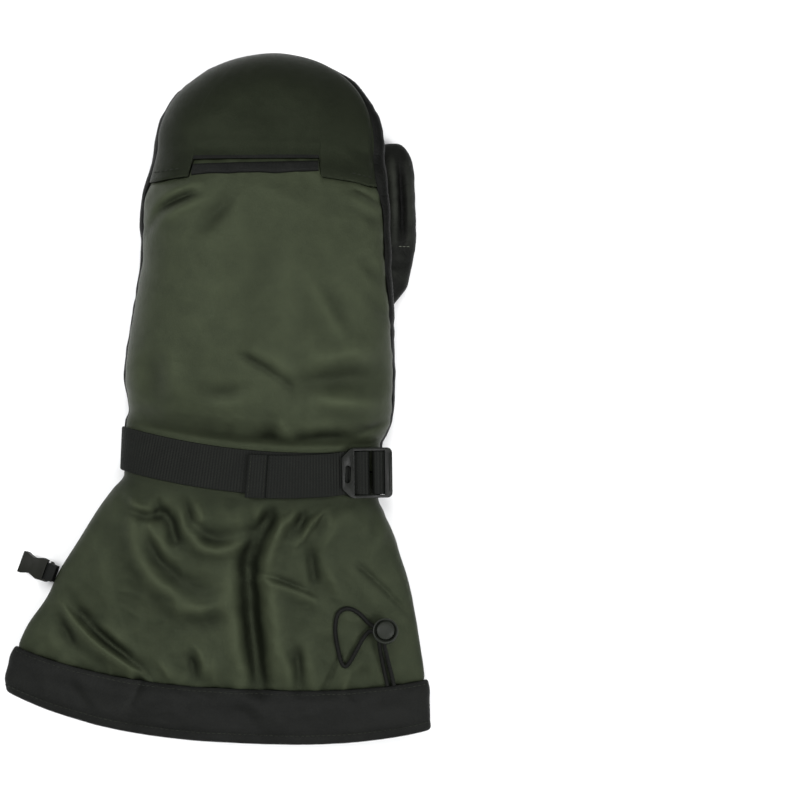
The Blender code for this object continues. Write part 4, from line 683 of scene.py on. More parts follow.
def fold_height(x, y):
    """Height of folds, gathers and crinkles over the smooth form."""
    hand = smoothstep(0.0, 0.03, y)
    cuff = smoothstep(0.0, 0.03, -y)
    by_cord = np.exp(-((x - CALM_X)**2 + (y - CALM_Y)**2) / CALM_REACH**2)
    total = crease_height(x, y, CREASES) * (1.0 + 0.30 * hand + 0.70 * cuff * (1.0 - by_cord))
    soft = noise(x, y, 0.034, 3)
    total += 0.0007 * soft * (hand + cuff)
    total += cuff * (0.00075 * crinkle(x, y, 0.030, 5) + 0.00035 * crinkle(x, y, 0.013, 6))
    total += hand * (0.00035 * crinkle(x, y, 0.036, 8) + 0.00014 * crinkle(x, y, 0.014, 9))
    away = np.abs(y + 0.002) - WRIST_ZONE
    phase = x / 0.0105 * 2 * math.pi + 2.6 * noise(x, 0 * y, 0.022, 14) + 0.6 * np.sign(y)
    gather = np.sin(phase) * (0.6 + 0.5 * noise(x, 0 * y, 0.03, 15))
    total += ((0.0006 + 0.0010 * cuff) * gather * np.exp(-np.maximum(away, 0.0) / 0.011)
              * smoothstep(0.0, 0.004, away))
    return total


def lock_frame():
    """Place of the cord lock, as the CAD source works it out from the cuff's folds."""
    place = Matrix.Translation((LOCK_X, LOCK_Y, LOCK_FOOT))
    return place @ Matrix.Rotation(-LOCK_LEAN, 4, "X") @ Matrix.Rotation(LOCK_TURN, 4, "Z")


class Finish:
    """Small helper that wires a procedural material."""

    def __init__(self, name, uv_map=False):
        self.material = bpy.data.materials.new(name)
        self.material.use_nodes = True
        self.nodes = self.material.node_tree.nodes
        self.links = self.material.node_tree.links
        self.shader = self.nodes["Principled BSDF"]
        coordinates = self.nodes.new("ShaderNodeTexCoord")
        self.place = coordinates.outputs["Object"]
        self.cloth = coordinates.outputs["UV"] if uv_map else self.place

    def add(self, kind, inputs=(), **settings):
        node = self.nodes.new(kind)
        for key, value in settings.items():
            setattr(node, key, value)
        for key, value in dict(inputs).items():
            self.put(node.inputs[key], value)
        return node

    def put(self, socket, value):
        if isinstance(value, bpy.types.NodeSocket):
            self.links.new(value, socket)
        else:
            socket.default_value = value

    def noise(self, scale, detail, rough, where=None):
        inputs = {"Vector": where or self.place, "Scale": scale, "Detail": detail, "Roughness": rough}
        return self.add("ShaderNodeTexNoise", inputs).outputs["Fac"]

    def cells(self, scale, feature="DISTANCE_TO_EDGE", where=None):
        inputs = {"Vector": where or self.place, "Scale": scale}
        return self.add("ShaderNodeTexVoronoi", inputs, feature=feature).outputs["Distance"]

    def remap(self, value, low, high, to_low, to_high):
        inputs = {"Value": value, "From Min": low, "From Max": high, "To Min": to_low, "To Max": to_high}
        return self.add("ShaderNodeMapRange", inputs).outputs["Result"]

    def spread(self, value, to_low, to_high):
        """The middle range of a noise, stretched from one value to another."""
        return self.remap(value, 0.3, 0.7, to_low, to_high)

    def waves(self, pitch, direction):
        """Bands at a pitch in metres along one direction of the cloth."""
        inputs = {"Vector": self.cloth, "Scale": WAVE_PERIOD / pitch, "Distortion": 0.0, "Detail": 0.0}
        return self.add("ShaderNodeTexWave", inputs, bands_direction=direction).outputs["Fac"]

    def weave(self, pitch):
        return self.maths("MULTIPLY", self.waves(pitch, "X"), self.waves(pitch, "Y"))

    def maths(self, operation, first, second):
        return self.add("ShaderNodeMath", {0: first, 1: second}, operation=operation).outputs[0]

    def mix(self, factor, first, second):
        return self.add("ShaderNodeMix", {0: factor, 6: first, 7: second}, data_type="RGBA").outputs[2]

    def bumps(self, *layers):
        """Normal with layers of relief, each a (height, distance, strength)."""
        normal = None
        for height, distance, strength in layers:
            inputs = {"Height": height, "Distance": distance, "Strength": strength}
            if normal:
                inputs["Normal"] = normal
            normal = self.add("ShaderNodeBump", inputs).outputs["Normal"]
        return normal

    def done(self, color, roughness, normal, specular=0.2, tint=None):
        values = {"Base Color": color, "Roughness": roughness, "Normal": normal,
                  "Specular IOR Level": specular}
        if tint:
            values["Specular Tint"] = tint
        for key, value in values.items():
            self.put(self.shader.inputs[key], value)
        return self.material


def tone(red, green, blue, gain=1.0):
    """Linear colour of a screen colour from 0 to 255."""
    def linear(value):
        value = value / 255
        return value / 12.92 if value <= 0.04045 else ((value + 0.055) / 1.055) ** 2.4
    return (linear(red) * gain, linear(green) * gain, linear(blue) * gain, 1.0)


def edge_of(finish, amount=1.0):
    """Share of raised, rubbed places, from the shape itself."""
    pointy = finish.add("ShaderNodeNewGeometry").outputs["Pointiness"]
    return finish.remap(pointy, 0.5, 0.56, 0.0, amount)


def painted_fold_shade_and_highlight(finish, color, dark, light, gain, painted_highlight_gain=1.5):
    """Painted shade down in the folds and a painted highlight on their ridges, read from the relief
    attribute.
    """
    value = finish.add("ShaderNodeAttribute", attribute_name="relief").outputs["Fac"]
    # painted shade: the deeper the fold, the darker its colour; painted highlight: the higher the ridge,
    # the paler
    color = finish.mix(finish.remap(value, 0.08, 0.50, 0.92, 0.0), color, tone(*dark, gain * 0.22))
    return finish.mix(finish.remap(value, 0.50, 1.0, 0.0, 0.60), color, tone(*light, gain * painted_highlight_gain))


def mottled(finish, value, dark, light, gain):
    """Tone that goes from dark to light with a noise."""
    return finish.mix(finish.spread(value, 0.0, 1.0), tone(*dark, gain), tone(*light, gain))


def coated_nylon(name, dark, light, roughness=0.42, specular=0.16, gain=0.55):
    """Tightly woven nylon with a matte coating: fine weave, mottled tone, pale rubbed ridges, painted
    shade in the folds and a painted highlight on their ridges.
    """
    finish = Finish(name, uv_map=True)
    threads = finish.weave(0.00045)
    slubs = finish.noise(900.0, 3.0, 0.7, finish.cloth)
    fine = finish.noise(2600.0, 2.0, 0.7)
    mottle = finish.noise(70.0, 6.0, 0.65)
    broad = finish.noise(14.0, 3.0, 0.5)
    color = finish.mix(finish.remap(mottle, 0.32, 0.68, 0.0, 1.0), tone(*dark, gain), tone(*light, gain))
    color = finish.mix(finish.remap(broad, 0.35, 0.65, 0.0, 0.35), color, tone(*dark, gain))
    color = finish.mix(finish.remap(threads, 0.0, 1.0, 0.30, 0.0), color, tone(*dark, gain * 0.6))
    color = finish.mix(edge_of(finish, 0.30), color, tone(*light, gain * 1.8))
    # painted shade in the folds and a painted highlight on their ridges, from the relief
    color = painted_fold_shade_and_highlight(finish, color, dark, light, gain)
    normal = finish.bumps((threads, 0.00010, 0.55), (finish.maths("ADD", slubs, fine), 0.00012, 0.6),
                          (finish.noise(210.0, 5.0, 0.62), 0.0006, 0.35))
    rough = finish.spread(slubs, roughness - 0.08, roughness + 0.10)
    return finish.done(color, rough, normal, specular, (0.85, 1.0, 0.65, 1.0))


def hem_nylon(name, dark, light, gain=0.6):
    """Matte woven nylon with a dense plain weave that shows as small specks."""
    finish = Finish(name, uv_map=True)
    fine = finish.noise(1500.0, 3.0, 0.7)
    mottle = finish.noise(60.0, 5.0, 0.6)
    color = mottled(finish, mottle, dark, light, gain)
    color = finish.mix(finish.remap(fine, 0.42, 0.62, 0.0, 0.5), color, tone(*light, gain * 1.5))
    color = finish.mix(edge_of(finish, 0.25), color, tone(*light, gain * 1.8))
    normal = finish.bumps((finish.weave(0.0008), 0.00016, 0.7), (fine, 0.00012, 0.6),
                          (finish.noise(240.0, 4.0, 0.6), 0.0005, 0.4))
    return finish.done(color, finish.spread(mottle, 0.62, 0.52), normal, 0.10)


def leather(name, dark, light, gain=0.55, folds=False):
    """Soft black leather with a fine grain, small creases, paler rubbed edges and, with folds, painted
    shade in its creases and a painted highlight on its ridges.
    """
    finish = Finish(name)
    grain = finish.cells(900.0)
    pores = finish.noise(1700.0, 2.0, 0.6)
    warp = finish.add("ShaderNodeTexNoise", {"Vector": finish.place, "Scale": 60.0, "Detail": 3.0})
    bent = finish.add("ShaderNodeMix", {4: finish.place, 5: warp.outputs["Color"], 0: 0.012},
                      data_type="VECTOR").outputs[1]
    creases = finish.cells(150.0, where=bent)
    mottle = finish.noise(45.0, 5.0, 0.6)
    color = mottled(finish, mottle, dark, light, gain)
    color = finish.mix(edge_of(finish, 0.5), color, tone(*light, gain * 2.2))
    # painted shade in the creases and a strong painted highlight on the ridges
    if folds:
        color = painted_fold_shade_and_highlight(finish, color, dark, light, gain, 6.0)
    normal = finish.bumps((finish.remap(grain, 0.0, 0.25, 0.0, 1.0), 0.00009, 0.7), (pores, 0.00006, 0.5),
                          (finish.remap(creases, 0.0, 0.12, 0.0, 1.0), 0.00022, 0.45))
    return finish.done(color, finish.spread(mottle, 0.46, 0.58), normal, 0.07)


def webbing(name, dark, light, gain=0.65):
    """Polyester webbing: crosswise ribs, each of small round threads side by side."""
    finish = Finish(name, uv_map=True)
    ribs = finish.waves(RIB_PITCH, "X")
    yarns = finish.waves(0.0009, "Y")
    fuzz = finish.noise(2400.0, 3.0, 0.7)
    mottle = finish.noise(110.0, 4.0, 0.6)
    color = finish.mix(ribs, tone(*dark, gain * 0.75), tone(*light, gain))
    color = finish.mix(finish.remap(mottle, 0.35, 0.65, 0.0, 0.5), color, tone(*dark, gain))
    color = finish.mix(finish.remap(yarns, 0.0, 1.0, 0.25, 0.0), color, tone(*dark, gain * 0.5))
    normal = finish.bumps((yarns, 0.00012, 0.8), (fuzz, 0.00010, 0.5))
    return finish.done(color, finish.spread(fuzz, 0.55, 0.72), normal, 0.10)


def moulded(name, dark, light, roughness=0.34, gain=0.22):
    """Injection moulded plastic with a light texture, rubbed paler on its edges."""
    finish = Finish(name)
    mottle = finish.noise(150.0, 4.0, 0.6)
    color = mottled(finish, mottle, dark, light, gain)
    color = finish.mix(edge_of(finish, 0.35), color, tone(*light, gain * 2.0))
    normal = finish.bumps((finish.noise(2200.0, 3.0, 0.6), 0.00006, 0.6), (mottle, 0.00018, 0.25))
    return finish.done(color, finish.spread(mottle, roughness - 0.06, roughness + 0.10), normal, 0.11)


def braided(name, dark, light, gain=0.38):
    """Braided cover of the elastic cord, as small slanting threads."""
    finish = Finish(name)
    cells = finish.cells(1500.0, "F1")
    fuzz = finish.noise(3000.0, 3.0, 0.7)
    color = finish.mix(finish.remap(cells, 0.1, 0.6, 1.0, 0.0), tone(*dark, gain), tone(*light, gain))
    normal = finish.bumps((finish.remap(cells, 0.0, 0.7, 1.0, 0.0), 0.00022, 0.8), (fuzz, 0.00006, 0.5))
    return finish.done(color, finish.spread(fuzz, 0.6, 0.75), normal, 0.12)


def light_thread():
    """Pale thread of the short row of stitches on the thumb."""
    finish = Finish("pale_thread")
    twist = finish.noise(2500.0, 2.0, 0.6)
    color = mottled(finish, twist, (62, 66, 56), (92, 96, 84), 1.0)
    return finish.done(color, finish.spread(twist, 0.5, 0.7), finish.bumps((twist, 0.00008, 0.6)), 0.3)


def floor_finish():
    finish = Finish("pale_floor")
    speck = finish.noise(40.0, 4.0, 0.5)
    color = finish.mix(speck, (0.90, 0.90, 0.90, 1.0), (0.93, 0.93, 0.93, 1.0))
    return finish.done(color, finish.spread(speck, 0.85, 0.95), finish.bumps((speck, 0.0002, 0.05)), 0.1)


def grid_normals(points, ring=False):
    """Outward normals of a grid whose rows follow v and whose columns follow u."""
    if ring:
        wide = np.concatenate([points[:, -2:], points, points[:, :2]], axis=1)
        return grid_normals(wide)[:, 2:-2]
    normal = np.cross(np.gradient(points, axis=0), np.gradient(points, axis=1))
    size = np.linalg.norm(normal, axis=-1, keepdims=True)
    thin = size < 1e-12
    return np.where(thin, np.array([0.0, 1.0, 0.0]), normal / np.where(thin, 1.0, size))


def lengths(points, axis):
    """Distance along one axis of a grid, in metres."""
    step = np.linalg.norm(np.diff(points, axis=axis), axis=-1)
    start = np.zeros_like(np.take(step, [0], axis=axis))
    return np.concatenate([start, np.cumsum(step, axis=axis)], axis=axis)


def grid_faces(rows, columns, ring=True):
    """Numbers of a grid's points, the first column again at a ring's end, and its faces."""
    index = np.arange(rows * columns).reshape(rows, columns)
    if ring:
        index = np.concatenate([index, index[:, :1]], axis=1)
    return index, np.stack([index[:-1, :-1], index[:-1, 1:], index[1:, 1:], index[1:, :-1]], axis=-1)


def new_object(name, data):
    piece = bpy.data.objects.new(name, data)
    bpy.context.collection.objects.link(piece)
    return piece


def make_mesh(name, vertices, faces, uvs=None, slots=None):
    mesh = bpy.data.meshes.new(name)
    mesh.from_pydata([tuple(vertex) for vertex in vertices], [], faces)
    if uvs is not None:
        layer_of = mesh.uv_layers.new(name="cloth")
        loops = np.zeros(len(mesh.loops), dtype=np.int32)
        mesh.loops.foreach_get("vertex_index", loops)
        layer_of.data.foreach_set("uv", np.asarray(uvs)[loops].astype(np.float32).ravel())
    if slots is not None:
        mesh.polygons.foreach_set("material_index", np.asarray(slots, dtype=np.int32))
    mesh.shade_smooth()
    mesh.set_sharp_from_angle(angle=CLOTH_SHARP)
    mesh.update()
    return mesh


def add_piece(name, mesh, finishes, nodes=(), body="mitten"):
    """Piece made in the strap's own frame, moved to where the CAD model stands."""
    piece = new_object(name, mesh)
    for finish in finishes:
        mesh.materials.append(finish)
    mesh.transform(Matrix.Translation(CENTRE))
    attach(piece, body)
    if nodes:
        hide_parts(*nodes)
    return piece


def relief(height, ring=False):
    """How far cloth stands out of its surroundings or lies in a fold, 0.5 where it is even."""
    soft = height
    for _ in range(RELIEF_ROUNDS):
        wide = np.pad(soft, ((1, 1), (0, 0)), mode="edge")
        soft = (wide[:-2] + 2 * soft + wide[2:]) / 4
        wide = np.pad(soft, ((0, 0), (1, 1)), mode="wrap" if ring else "edge")
        soft = (wide[:, :-2] + 2 * soft + wide[:, 2:]) / 4
    return np.clip(0.5 + (height - soft) / RELIEF_RANGE, 0.0, 1.0)


def strap_shade(away):
    """Painted shade on the cloth where it tucks under the strap."""
    return 0.30 * (1.0 - smoothstep(WRIST_ZONE, WRIST_ZONE + 0.011, away))


def wall_mesh(name, outer, inner, ring=False, keep=None, dark=None, folds=None):
    """Closed wall between two grids, with cloth lengths as its map.

    keep says which faces are there, and dark at which points the outer ones take slot 2.
    folds is the relief of the outer wall, stored for its material's painted shade in the folds and
    painted highlight on their ridges.
    """
    rows, columns = outer.shape[:2]
    count = rows * columns
    across, along = lengths(outer, 1), lengths(outer, 0)
    uv = np.stack([across, along + 0 * across], axis=-1).reshape(-1, 2)
    index, top = grid_faces(rows, columns, ring)
    used = np.ones(top.shape[:2], dtype=bool) if keep is None else keep
    top = top[used].reshape(-1, 4)
    low = top[:, ::-1] + count
    borders = [(index[0], False), (index[-1], True)]
    if not ring:
        borders += [(index[:, 0], True), (index[:, -1], False)]
    sides = []
    for path, forward in borders:
        here, after = path[:-1], path[1:]
        corners = [here, after, after + count, here + count]
        if not forward:
            corners = [here, here + count, after + count, after]
        sides.append(np.stack(corners, axis=-1))
    sides = np.concatenate(sides)
    faces = np.concatenate([top, low, sides])
    slots = np.concatenate([np.zeros(len(top)), np.ones(len(low)), np.zeros(len(sides))])
    if dark is not None:
        slots[:len(top)] = np.where(dark[:-1, :-1][used].ravel(), 2, 0)
    vertices = np.concatenate([outer.reshape(-1, 3), inner.reshape(-1, 3)])
    mesh = make_mesh(name, vertices, faces.tolist(), np.concatenate([uv, uv]), slots)
    if folds is not None:
        shown = mesh.attributes.new("relief", "FLOAT", "POINT")
        values = np.concatenate([folds.ravel(), np.full(count, 0.5)])
        shown.data.foreach_set("value", values.astype(np.float32))
    return mesh


def weld(mesh, distance=2e-6):
    """Join the corners that meet in the point of a tip."""
    bm = bmesh.new()
    bm.from_mesh(mesh)
    bmesh.ops.remove_doubles(bm, verts=bm.verts, dist=distance)
    bmesh.ops.dissolve_degenerate(bm, edges=bm.edges, dist=1e-7)
    bm.to_mesh(mesh)
    bm.free()


def face_outward(mesh):
    bm = bmesh.new()
    bm.from_mesh(mesh)
    bmesh.ops.recalc_face_normals(bm, faces=bm.faces)
    bm.to_mesh(mesh)
    bm.free()


def apply_modifiers(piece, sharp):
    """Fix what a piece's modifiers make of it, with edges sharp above an angle."""
    bpy.context.view_layer.update()
    graph = bpy.context.evaluated_depsgraph_get()
    result = bpy.data.meshes.new_from_object(piece.evaluated_get(graph))
    piece.modifiers.clear()
    piece.data = result
    result.shade_smooth()
    result.set_sharp_from_angle(angle=sharp)


def settled(points):
    """Nothing goes below the surface that the mitten lies on."""
    points[..., 2] = np.maximum(points[..., 2], 0.0)
    return points


def seam_dip(distance, depth, width):
    return -depth * np.exp(-np.maximum(distance, 0.0) / width)


def surface(u, v, with_folds=True, ring=False):
    """Points of the glove's form with their normals and the lengths across and along them."""
    points = glove_form(u, v, with_folds)
    return points, grid_normals(points, ring), lengths(points, 1), lengths(points, 0)


def walls(points, normals, offset, thickness):
    """Outer and inner grid of a cloth whose outside is moved out by an offset."""
    return settled(points + normals * offset[..., None]), settled(points - normals * thickness)


def squeezed(columns, v):
    """Angles of a top panel's columns between its two seams."""
    first, last = seam_angle(v, 1), seam_angle(v, -1)
    angles = columns[None, :] * math.pi
    near_first = 1.0 - smoothstep(0.0, 0.9, angles)
    near_last = smoothstep(math.pi - 0.9, math.pi, angles)
    return angles + near_first * (first + SEAM_ROOM) + near_last * (last - SEAM_ROOM - math.pi)


def stitches(name, rows, finish, size=0.00027, pitch=0.0030, share=0.72):
    """Rows of sewing thread. Each row is (points, normals), and each stitch a thin spindle."""
    vertices = []
    faces = []
    index, sides = grid_faces(len(SPINDLE), THREAD_SIDES)
    spindle = sides.reshape(-1, 4).tolist() + [index[0, :-1][::-1].tolist(), index[-1, :-1].tolist()]
    for points, normals in rows:
        run = path_lengths(points)
        count = max(int(run[-1] / pitch), 1)
        for number in range(count):
            start = (number + 0.5 - share / 2) * run[-1] / count
            end = (number + 0.5 + share / 2) * run[-1] / count
            faces += [tuple(corner + len(vertices) for corner in face) for face in spindle]
            for at, wide in SPINDLE:
                place = start + (end - start) * at
                centre, out = path_at(points, run, place), path_at(normals, run, place)
                along = path_at(points, run, place + 1e-4) - path_at(points, run, place - 1e-4)
                side = np.cross(along / max(np.linalg.norm(along), 1e-9), out)
                side = side / max(np.linalg.norm(side), 1e-9)
                lift = size * (1.0 - 1.1 * (2 * at - 1)**4)
                for corner in range(THREAD_SIDES):
                    angle = corner * 2 * math.pi / THREAD_SIDES
                    vertices.append(centre + out * (lift + size * wide * math.sin(angle))
                                    + side * size * wide * math.cos(angle))
    return add_piece(name, make_mesh(name, vertices, faces), [finish])


def back_panel(finish, lining):
    columns = np.linspace(0.0, 1.0, 170)
    edge = cap_edge(side_of(columns * math.pi), -HAIR)
    even = np.linspace(ROW_START, EVEN_ROWS_END * HAND_LENGTH, 170)[:, None] + 0 * edge[None, :]
    share = np.linspace(0.0, 1.0, 31)[1:, None]
    v = np.concatenate([even, even[-1:] + (edge[None, :] - even[-1:]) * share])
    u = squeezed(columns, v)
    points, normals, across, along = surface(u, v)
    offset = seam_dip(across, 0.0011, 0.0020) + seam_dip(across[:, -1:] - across, 0.0011, 0.0020)
    beside = np.minimum(across, across[:, -1:] - across)
    offset += 0.0006 * noise(0 * along, along, 0.007, 21) * np.exp(-beside / 0.007)
    to_cap = along[-1:] - along
    offset += seam_dip(to_cap, 0.0009, 0.0022)
    offset += 0.0005 * noise(across, 0 * along, 0.008, 22) * np.exp(-to_cap / 0.009)
    outer, inner = walls(points, normals, offset, BACK_WALL)
    # painted shade and highlight follow the relief, with painted shade where the cloth tucks under the
    # strap
    folds = relief((outer - glove_form(u, v))[..., 2]) - 0.5 * strap_shade(v)
    piece = add_piece("back_cloth", wall_mesh("back_cloth", outer, inner, folds=folds), [finish, lining],
                      ["back_panel"])


def fingertip_cap(finish, lining, notch_shade_finish, thread):
    columns = np.linspace(0.0, 1.0, 150)
    corners = [float(angle_of(row.side)) / math.pi for row in CAP_EDGE[1:-1]]
    columns = np.array(sorted([c for c in columns if min(abs(c - k) for k in corners) > 0.002] + corners))
    edge = cap_edge(side_of(columns * math.pi), HAIR)
    share = np.linspace(0.0, 1.0, 34)[:-1, None]
    even = np.linspace(CAP_EVEN_START, 1.0, 60)[:, None] * HAND_LENGTH + 0 * edge[None, :]
    v = np.concatenate([edge[None, :] + (even[:1] - edge[None, :]) * share, even])
    u = squeezed(columns, v)
    points, normals, across, along = surface(u, v)
    offset = seam_dip(across, 0.0009, 0.0018) + seam_dip(across[:, -1:] - across, 0.0009, 0.0018)
    offset = offset * (1.0 - smoothstep(0.97, 1.0, v / HAND_LENGTH))
    offset += 0.0008 - 0.0005 * np.exp(-along / 0.0006)
    offset += 0.0004 * noise(points[..., 0], points[..., 1], 0.020, 23)
    outer, inner = walls(points, normals, offset, CAP_WALL)
    notch = side_of(columns * math.pi)
    in_notch = (notch > CAP_EDGE[2].side - 0.004) & (notch < CAP_EDGE[3].side + 0.004)
    folds = np.full(u.shape, 0.5)
    # a narrow border of the dark binding cloth along the notch's edge is painted shade under the cap's
    # edge
    dark = (along < NOTCH_PAINTED_SHADE) & in_notch[None, :]
    mesh = wall_mesh("cap_cloth", outer, inner, dark=dark, folds=folds)
    weld(mesh)
    piece = add_piece("cap_cloth", mesh, [finish, lining, notch_shade_finish], ["fingertip_cap"])
    row = int(np.argmin(np.abs(along[:, 75] - 0.0022)))
    rows = [(outer[row, start:end], normals[row, start:end])
            for start, end in ((4, 40), (112, len(columns) - 6))]
    stitches("cap_stitching", rows, thread)


def pocket_binding(finish):
    """Bound edge of the pocket mouth with a wavy lower edge and a soft roll on top."""
    left, right = CAP_EDGE[2], CAP_EDGE[3]
    u = np.linspace(angle_of(right.side - NOTCH_CLEARANCE), angle_of(left.side + NOTCH_CLEARANCE), 120)
    u = u[None, :]
    middle = left.at * HAND_LENGTH - BINDING_DROP + BINDING_SLANT * (side_of(u) - left.side)
    at = np.linspace(0.0, 1.0, 15)[:, None]
    x = glove_form(u, middle)[..., 0]
    low_edge = 0.0007 * noise(x, 0 * x, 0.012, 31) - 0.0004
    v = middle - BINDING_WIDTH / 2 + low_edge * (1 - at) + BINDING_WIDTH * at
    u = u + 0 * v
    points = glove_form(u, v, True)
    points[..., 2] += GAP * smoothstep(0.5 * HAND_LENGTH, 0.68 * HAND_LENGTH, v)
    normals = grid_normals(points)
    round_off = np.sqrt(np.clip(1.0 - (2 * at - 1)**4, 0.0, 1.0))
    lift = STRAP_CLEARANCE * 0.3 + BINDING_THICKNESS * 1.3 * round_off
    lift = lift + 0.0002 * noise(x + 0 * v, v, 0.006, 32)
    outer = points + normals * lift[..., None]
    inner = points - normals * 0.0002
    add_piece("pocket_edge", wall_mesh("pocket_edge", outer, inner), [finish, finish],
              ["pocket_binding"])


def palm_panel(finish, lining):
    share = np.linspace(0.0, 1.0, 190)
    rows = np.linspace(0.0, 1.0, 210)[:, None]
    v = ROW_START + (HAND_LENGTH - ROW_START) * rows
    first = seam_angle(v, -1) + SEAM_ROOM
    last = seam_angle(v, 1) + 2 * math.pi - SEAM_ROOM
    u = first + (last - first) * share[None, :]
    v = v + 0 * u
    points, normals, across, along = surface(u, v, with_folds=False)
    beside = np.minimum(across, across[:, -1:] - across)
    offset = seam_dip(beside, 0.0008, 0.0016) * (1.0 - smoothstep(0.93, 1.0, rows))
    free = smoothstep(0.002, 0.010, points[..., 2])
    offset += free * (0.0007 * noise(beside, along, 0.016, 41)
                      - 0.0006 * crinkle(beside, along, 0.022, 42))
    offset += 0.0012 * free * np.exp(-((beside - 0.006) / 0.006)**2)
    outer, inner = walls(points, normals, offset, PALM_WALL)
    inner[..., 2] = np.maximum(inner[..., 2], 0.0008)
    centre = (outer[:-1, :-1] + outer[1:, :-1] + outer[:-1, 1:] + outer[1:, 1:]) / 4
    mesh = wall_mesh("palm_leather", outer, inner, keep=~inside_thumb(centre))
    weld(mesh)
    piece = add_piece("palm_leather", mesh, [finish, lining], ["palm_panel"])


def inside_thumb(points):
    """Whether points lie inside the thumb's outer form, a little shrunk."""
    at = np.clip((points[..., 1] - THUMB_ROOT) / THUMB_LENGTH, 0.0, 1.0)
    inside = (points[..., 1] > THUMB_ROOT) & (at < 0.98)
    form = thumb_form(THUMB_INSIDE)
    reach = 0.0
    for axis, first, last in ((0, math.pi, 0.0), (2, 1.5 * math.pi, 0.5 * math.pi)):
        low, high = form(first, at)[..., axis], form(last, at)[..., axis]
        span = np.maximum((high - low) / 2, 1e-5)
        reach = reach + np.abs((points[..., axis] - (low + high) / 2) / span)**THUMB_ROUNDNESS
    return inside & (reach < 1.0)


def thumb(finish, lining):
    v = np.concatenate([np.linspace(0.0, THUMB_DOME_START, 90)[:-1],
                        np.linspace(THUMB_DOME_START, 1.0, 34)])
    u, v = np.meshgrid(np.arange(112) / 112 * 2 * math.pi, v)
    points = thumb_form(0.0)(u, v)
    normals = -grid_normals(points, ring=True)
    if (normals[40, :, 2] * np.sin(u[40])).sum() < 0:
        normals = -normals
    upper = np.clip(np.sin(u), 0.0, 1.0) ** 0.5
    offset = upper * crease_height(points[..., 0], points[..., 1], THUMB_CREASES)
    side_roll = np.abs(np.cos(u)) ** 8
    off_seam = np.abs(u - math.pi * 2 * (u > math.pi))
    offset -= 0.0007 * np.exp(-off_seam * THUMB_WIDTH / 2 / 0.0014) * (v < 0.97)
    offset += (0.0005 * noise(points[..., 0], points[..., 1], 0.014, 51)
               - 0.0005 * crinkle(points[..., 1], points[..., 0], 0.017, 52)) * (0.4 + 0.6 * upper)
    offset += 0.0003 * side_roll
    offset = offset * (1.0 - smoothstep(0.90, 1.0, v))
    outer = settled(points + normals * offset[..., None])
    inner = points - normals * THUMB_WALL
    inner[-1] = outer[-1] - np.array([0.0, THUMB_WALL, 0.0])
    # the thumb's relief drives painted shade in its creases and a painted highlight on its ridges
    mesh = wall_mesh("thumb_leather", outer, inner, ring=True, folds=relief(offset, True))
    weld(mesh)
    piece = add_piece("thumb_leather", mesh, [finish, lining], ["thumb"])
    line = np.array([surface_under(outer, from_photo(px, TACK_ROW)) for px in TACK_COLUMNS])
    stitches("thumb_tack", [(line, np.tile([0.0, 0.0, 1.0], (4, 1)))], light_thread(),
             size=0.00022, pitch=0.0022, share=0.8)


def surface_under(grid, place):
    """Highest point of a grid near a place on the table."""
    flat = grid.reshape(-1, 3)
    away = np.hypot(flat[:, 0] - place[0], flat[:, 1] - place[1])
    near = flat[away < 0.0022]
    return np.array([place[0], place[1], near[:, 2].max() if len(near) else 0.02])


def ring_angles(over, under):
    """Angles round a section, with their own numbers of columns over and under it."""
    return np.concatenate([np.linspace(0.0, math.pi, over)[:-1],
                           np.linspace(math.pi, 2 * math.pi, under)[:-1]])


def gauntlet(finish, lining):
    seam = HEM_BAND_WIDTH - CUFF_LENGTH
    v = np.linspace(-ROW_START, seam + HAIR, 118)[::-1]
    u, v = np.meshgrid(ring_angles(270, 120), v)
    points, normals, across, along = surface(u, v, ring=True)
    over = np.sin(u) > 0.05
    offset = 0.0007 * noise(across, 0 * along, 0.0075, 61) * np.exp(-along / 0.010)
    offset += seam_dip(along, 0.0010, 0.0020)
    side_seam = np.abs(u[..., None] - np.array([0.0, math.pi, 2 * math.pi])).min(axis=-1)
    offset += seam_dip(side_seam * 0.02, 0.0010, 0.0016)
    offset += np.where(over, 0.0, 0.0003 * noise(across, along, 0.02, 62))
    outer, inner = walls(points, normals, offset, GAUNTLET_WALL)
    # painted shade and highlight follow the relief, with painted shade where the cloth tucks under the
    # strap
    folds = relief((outer - glove_form(u, v))[..., 2], True) - strap_shade(-v)
    mesh = wall_mesh("gauntlet_cloth", outer, inner, ring=True, folds=folds)
    piece = add_piece("gauntlet_cloth", mesh, [finish, lining], ["gauntlet"])


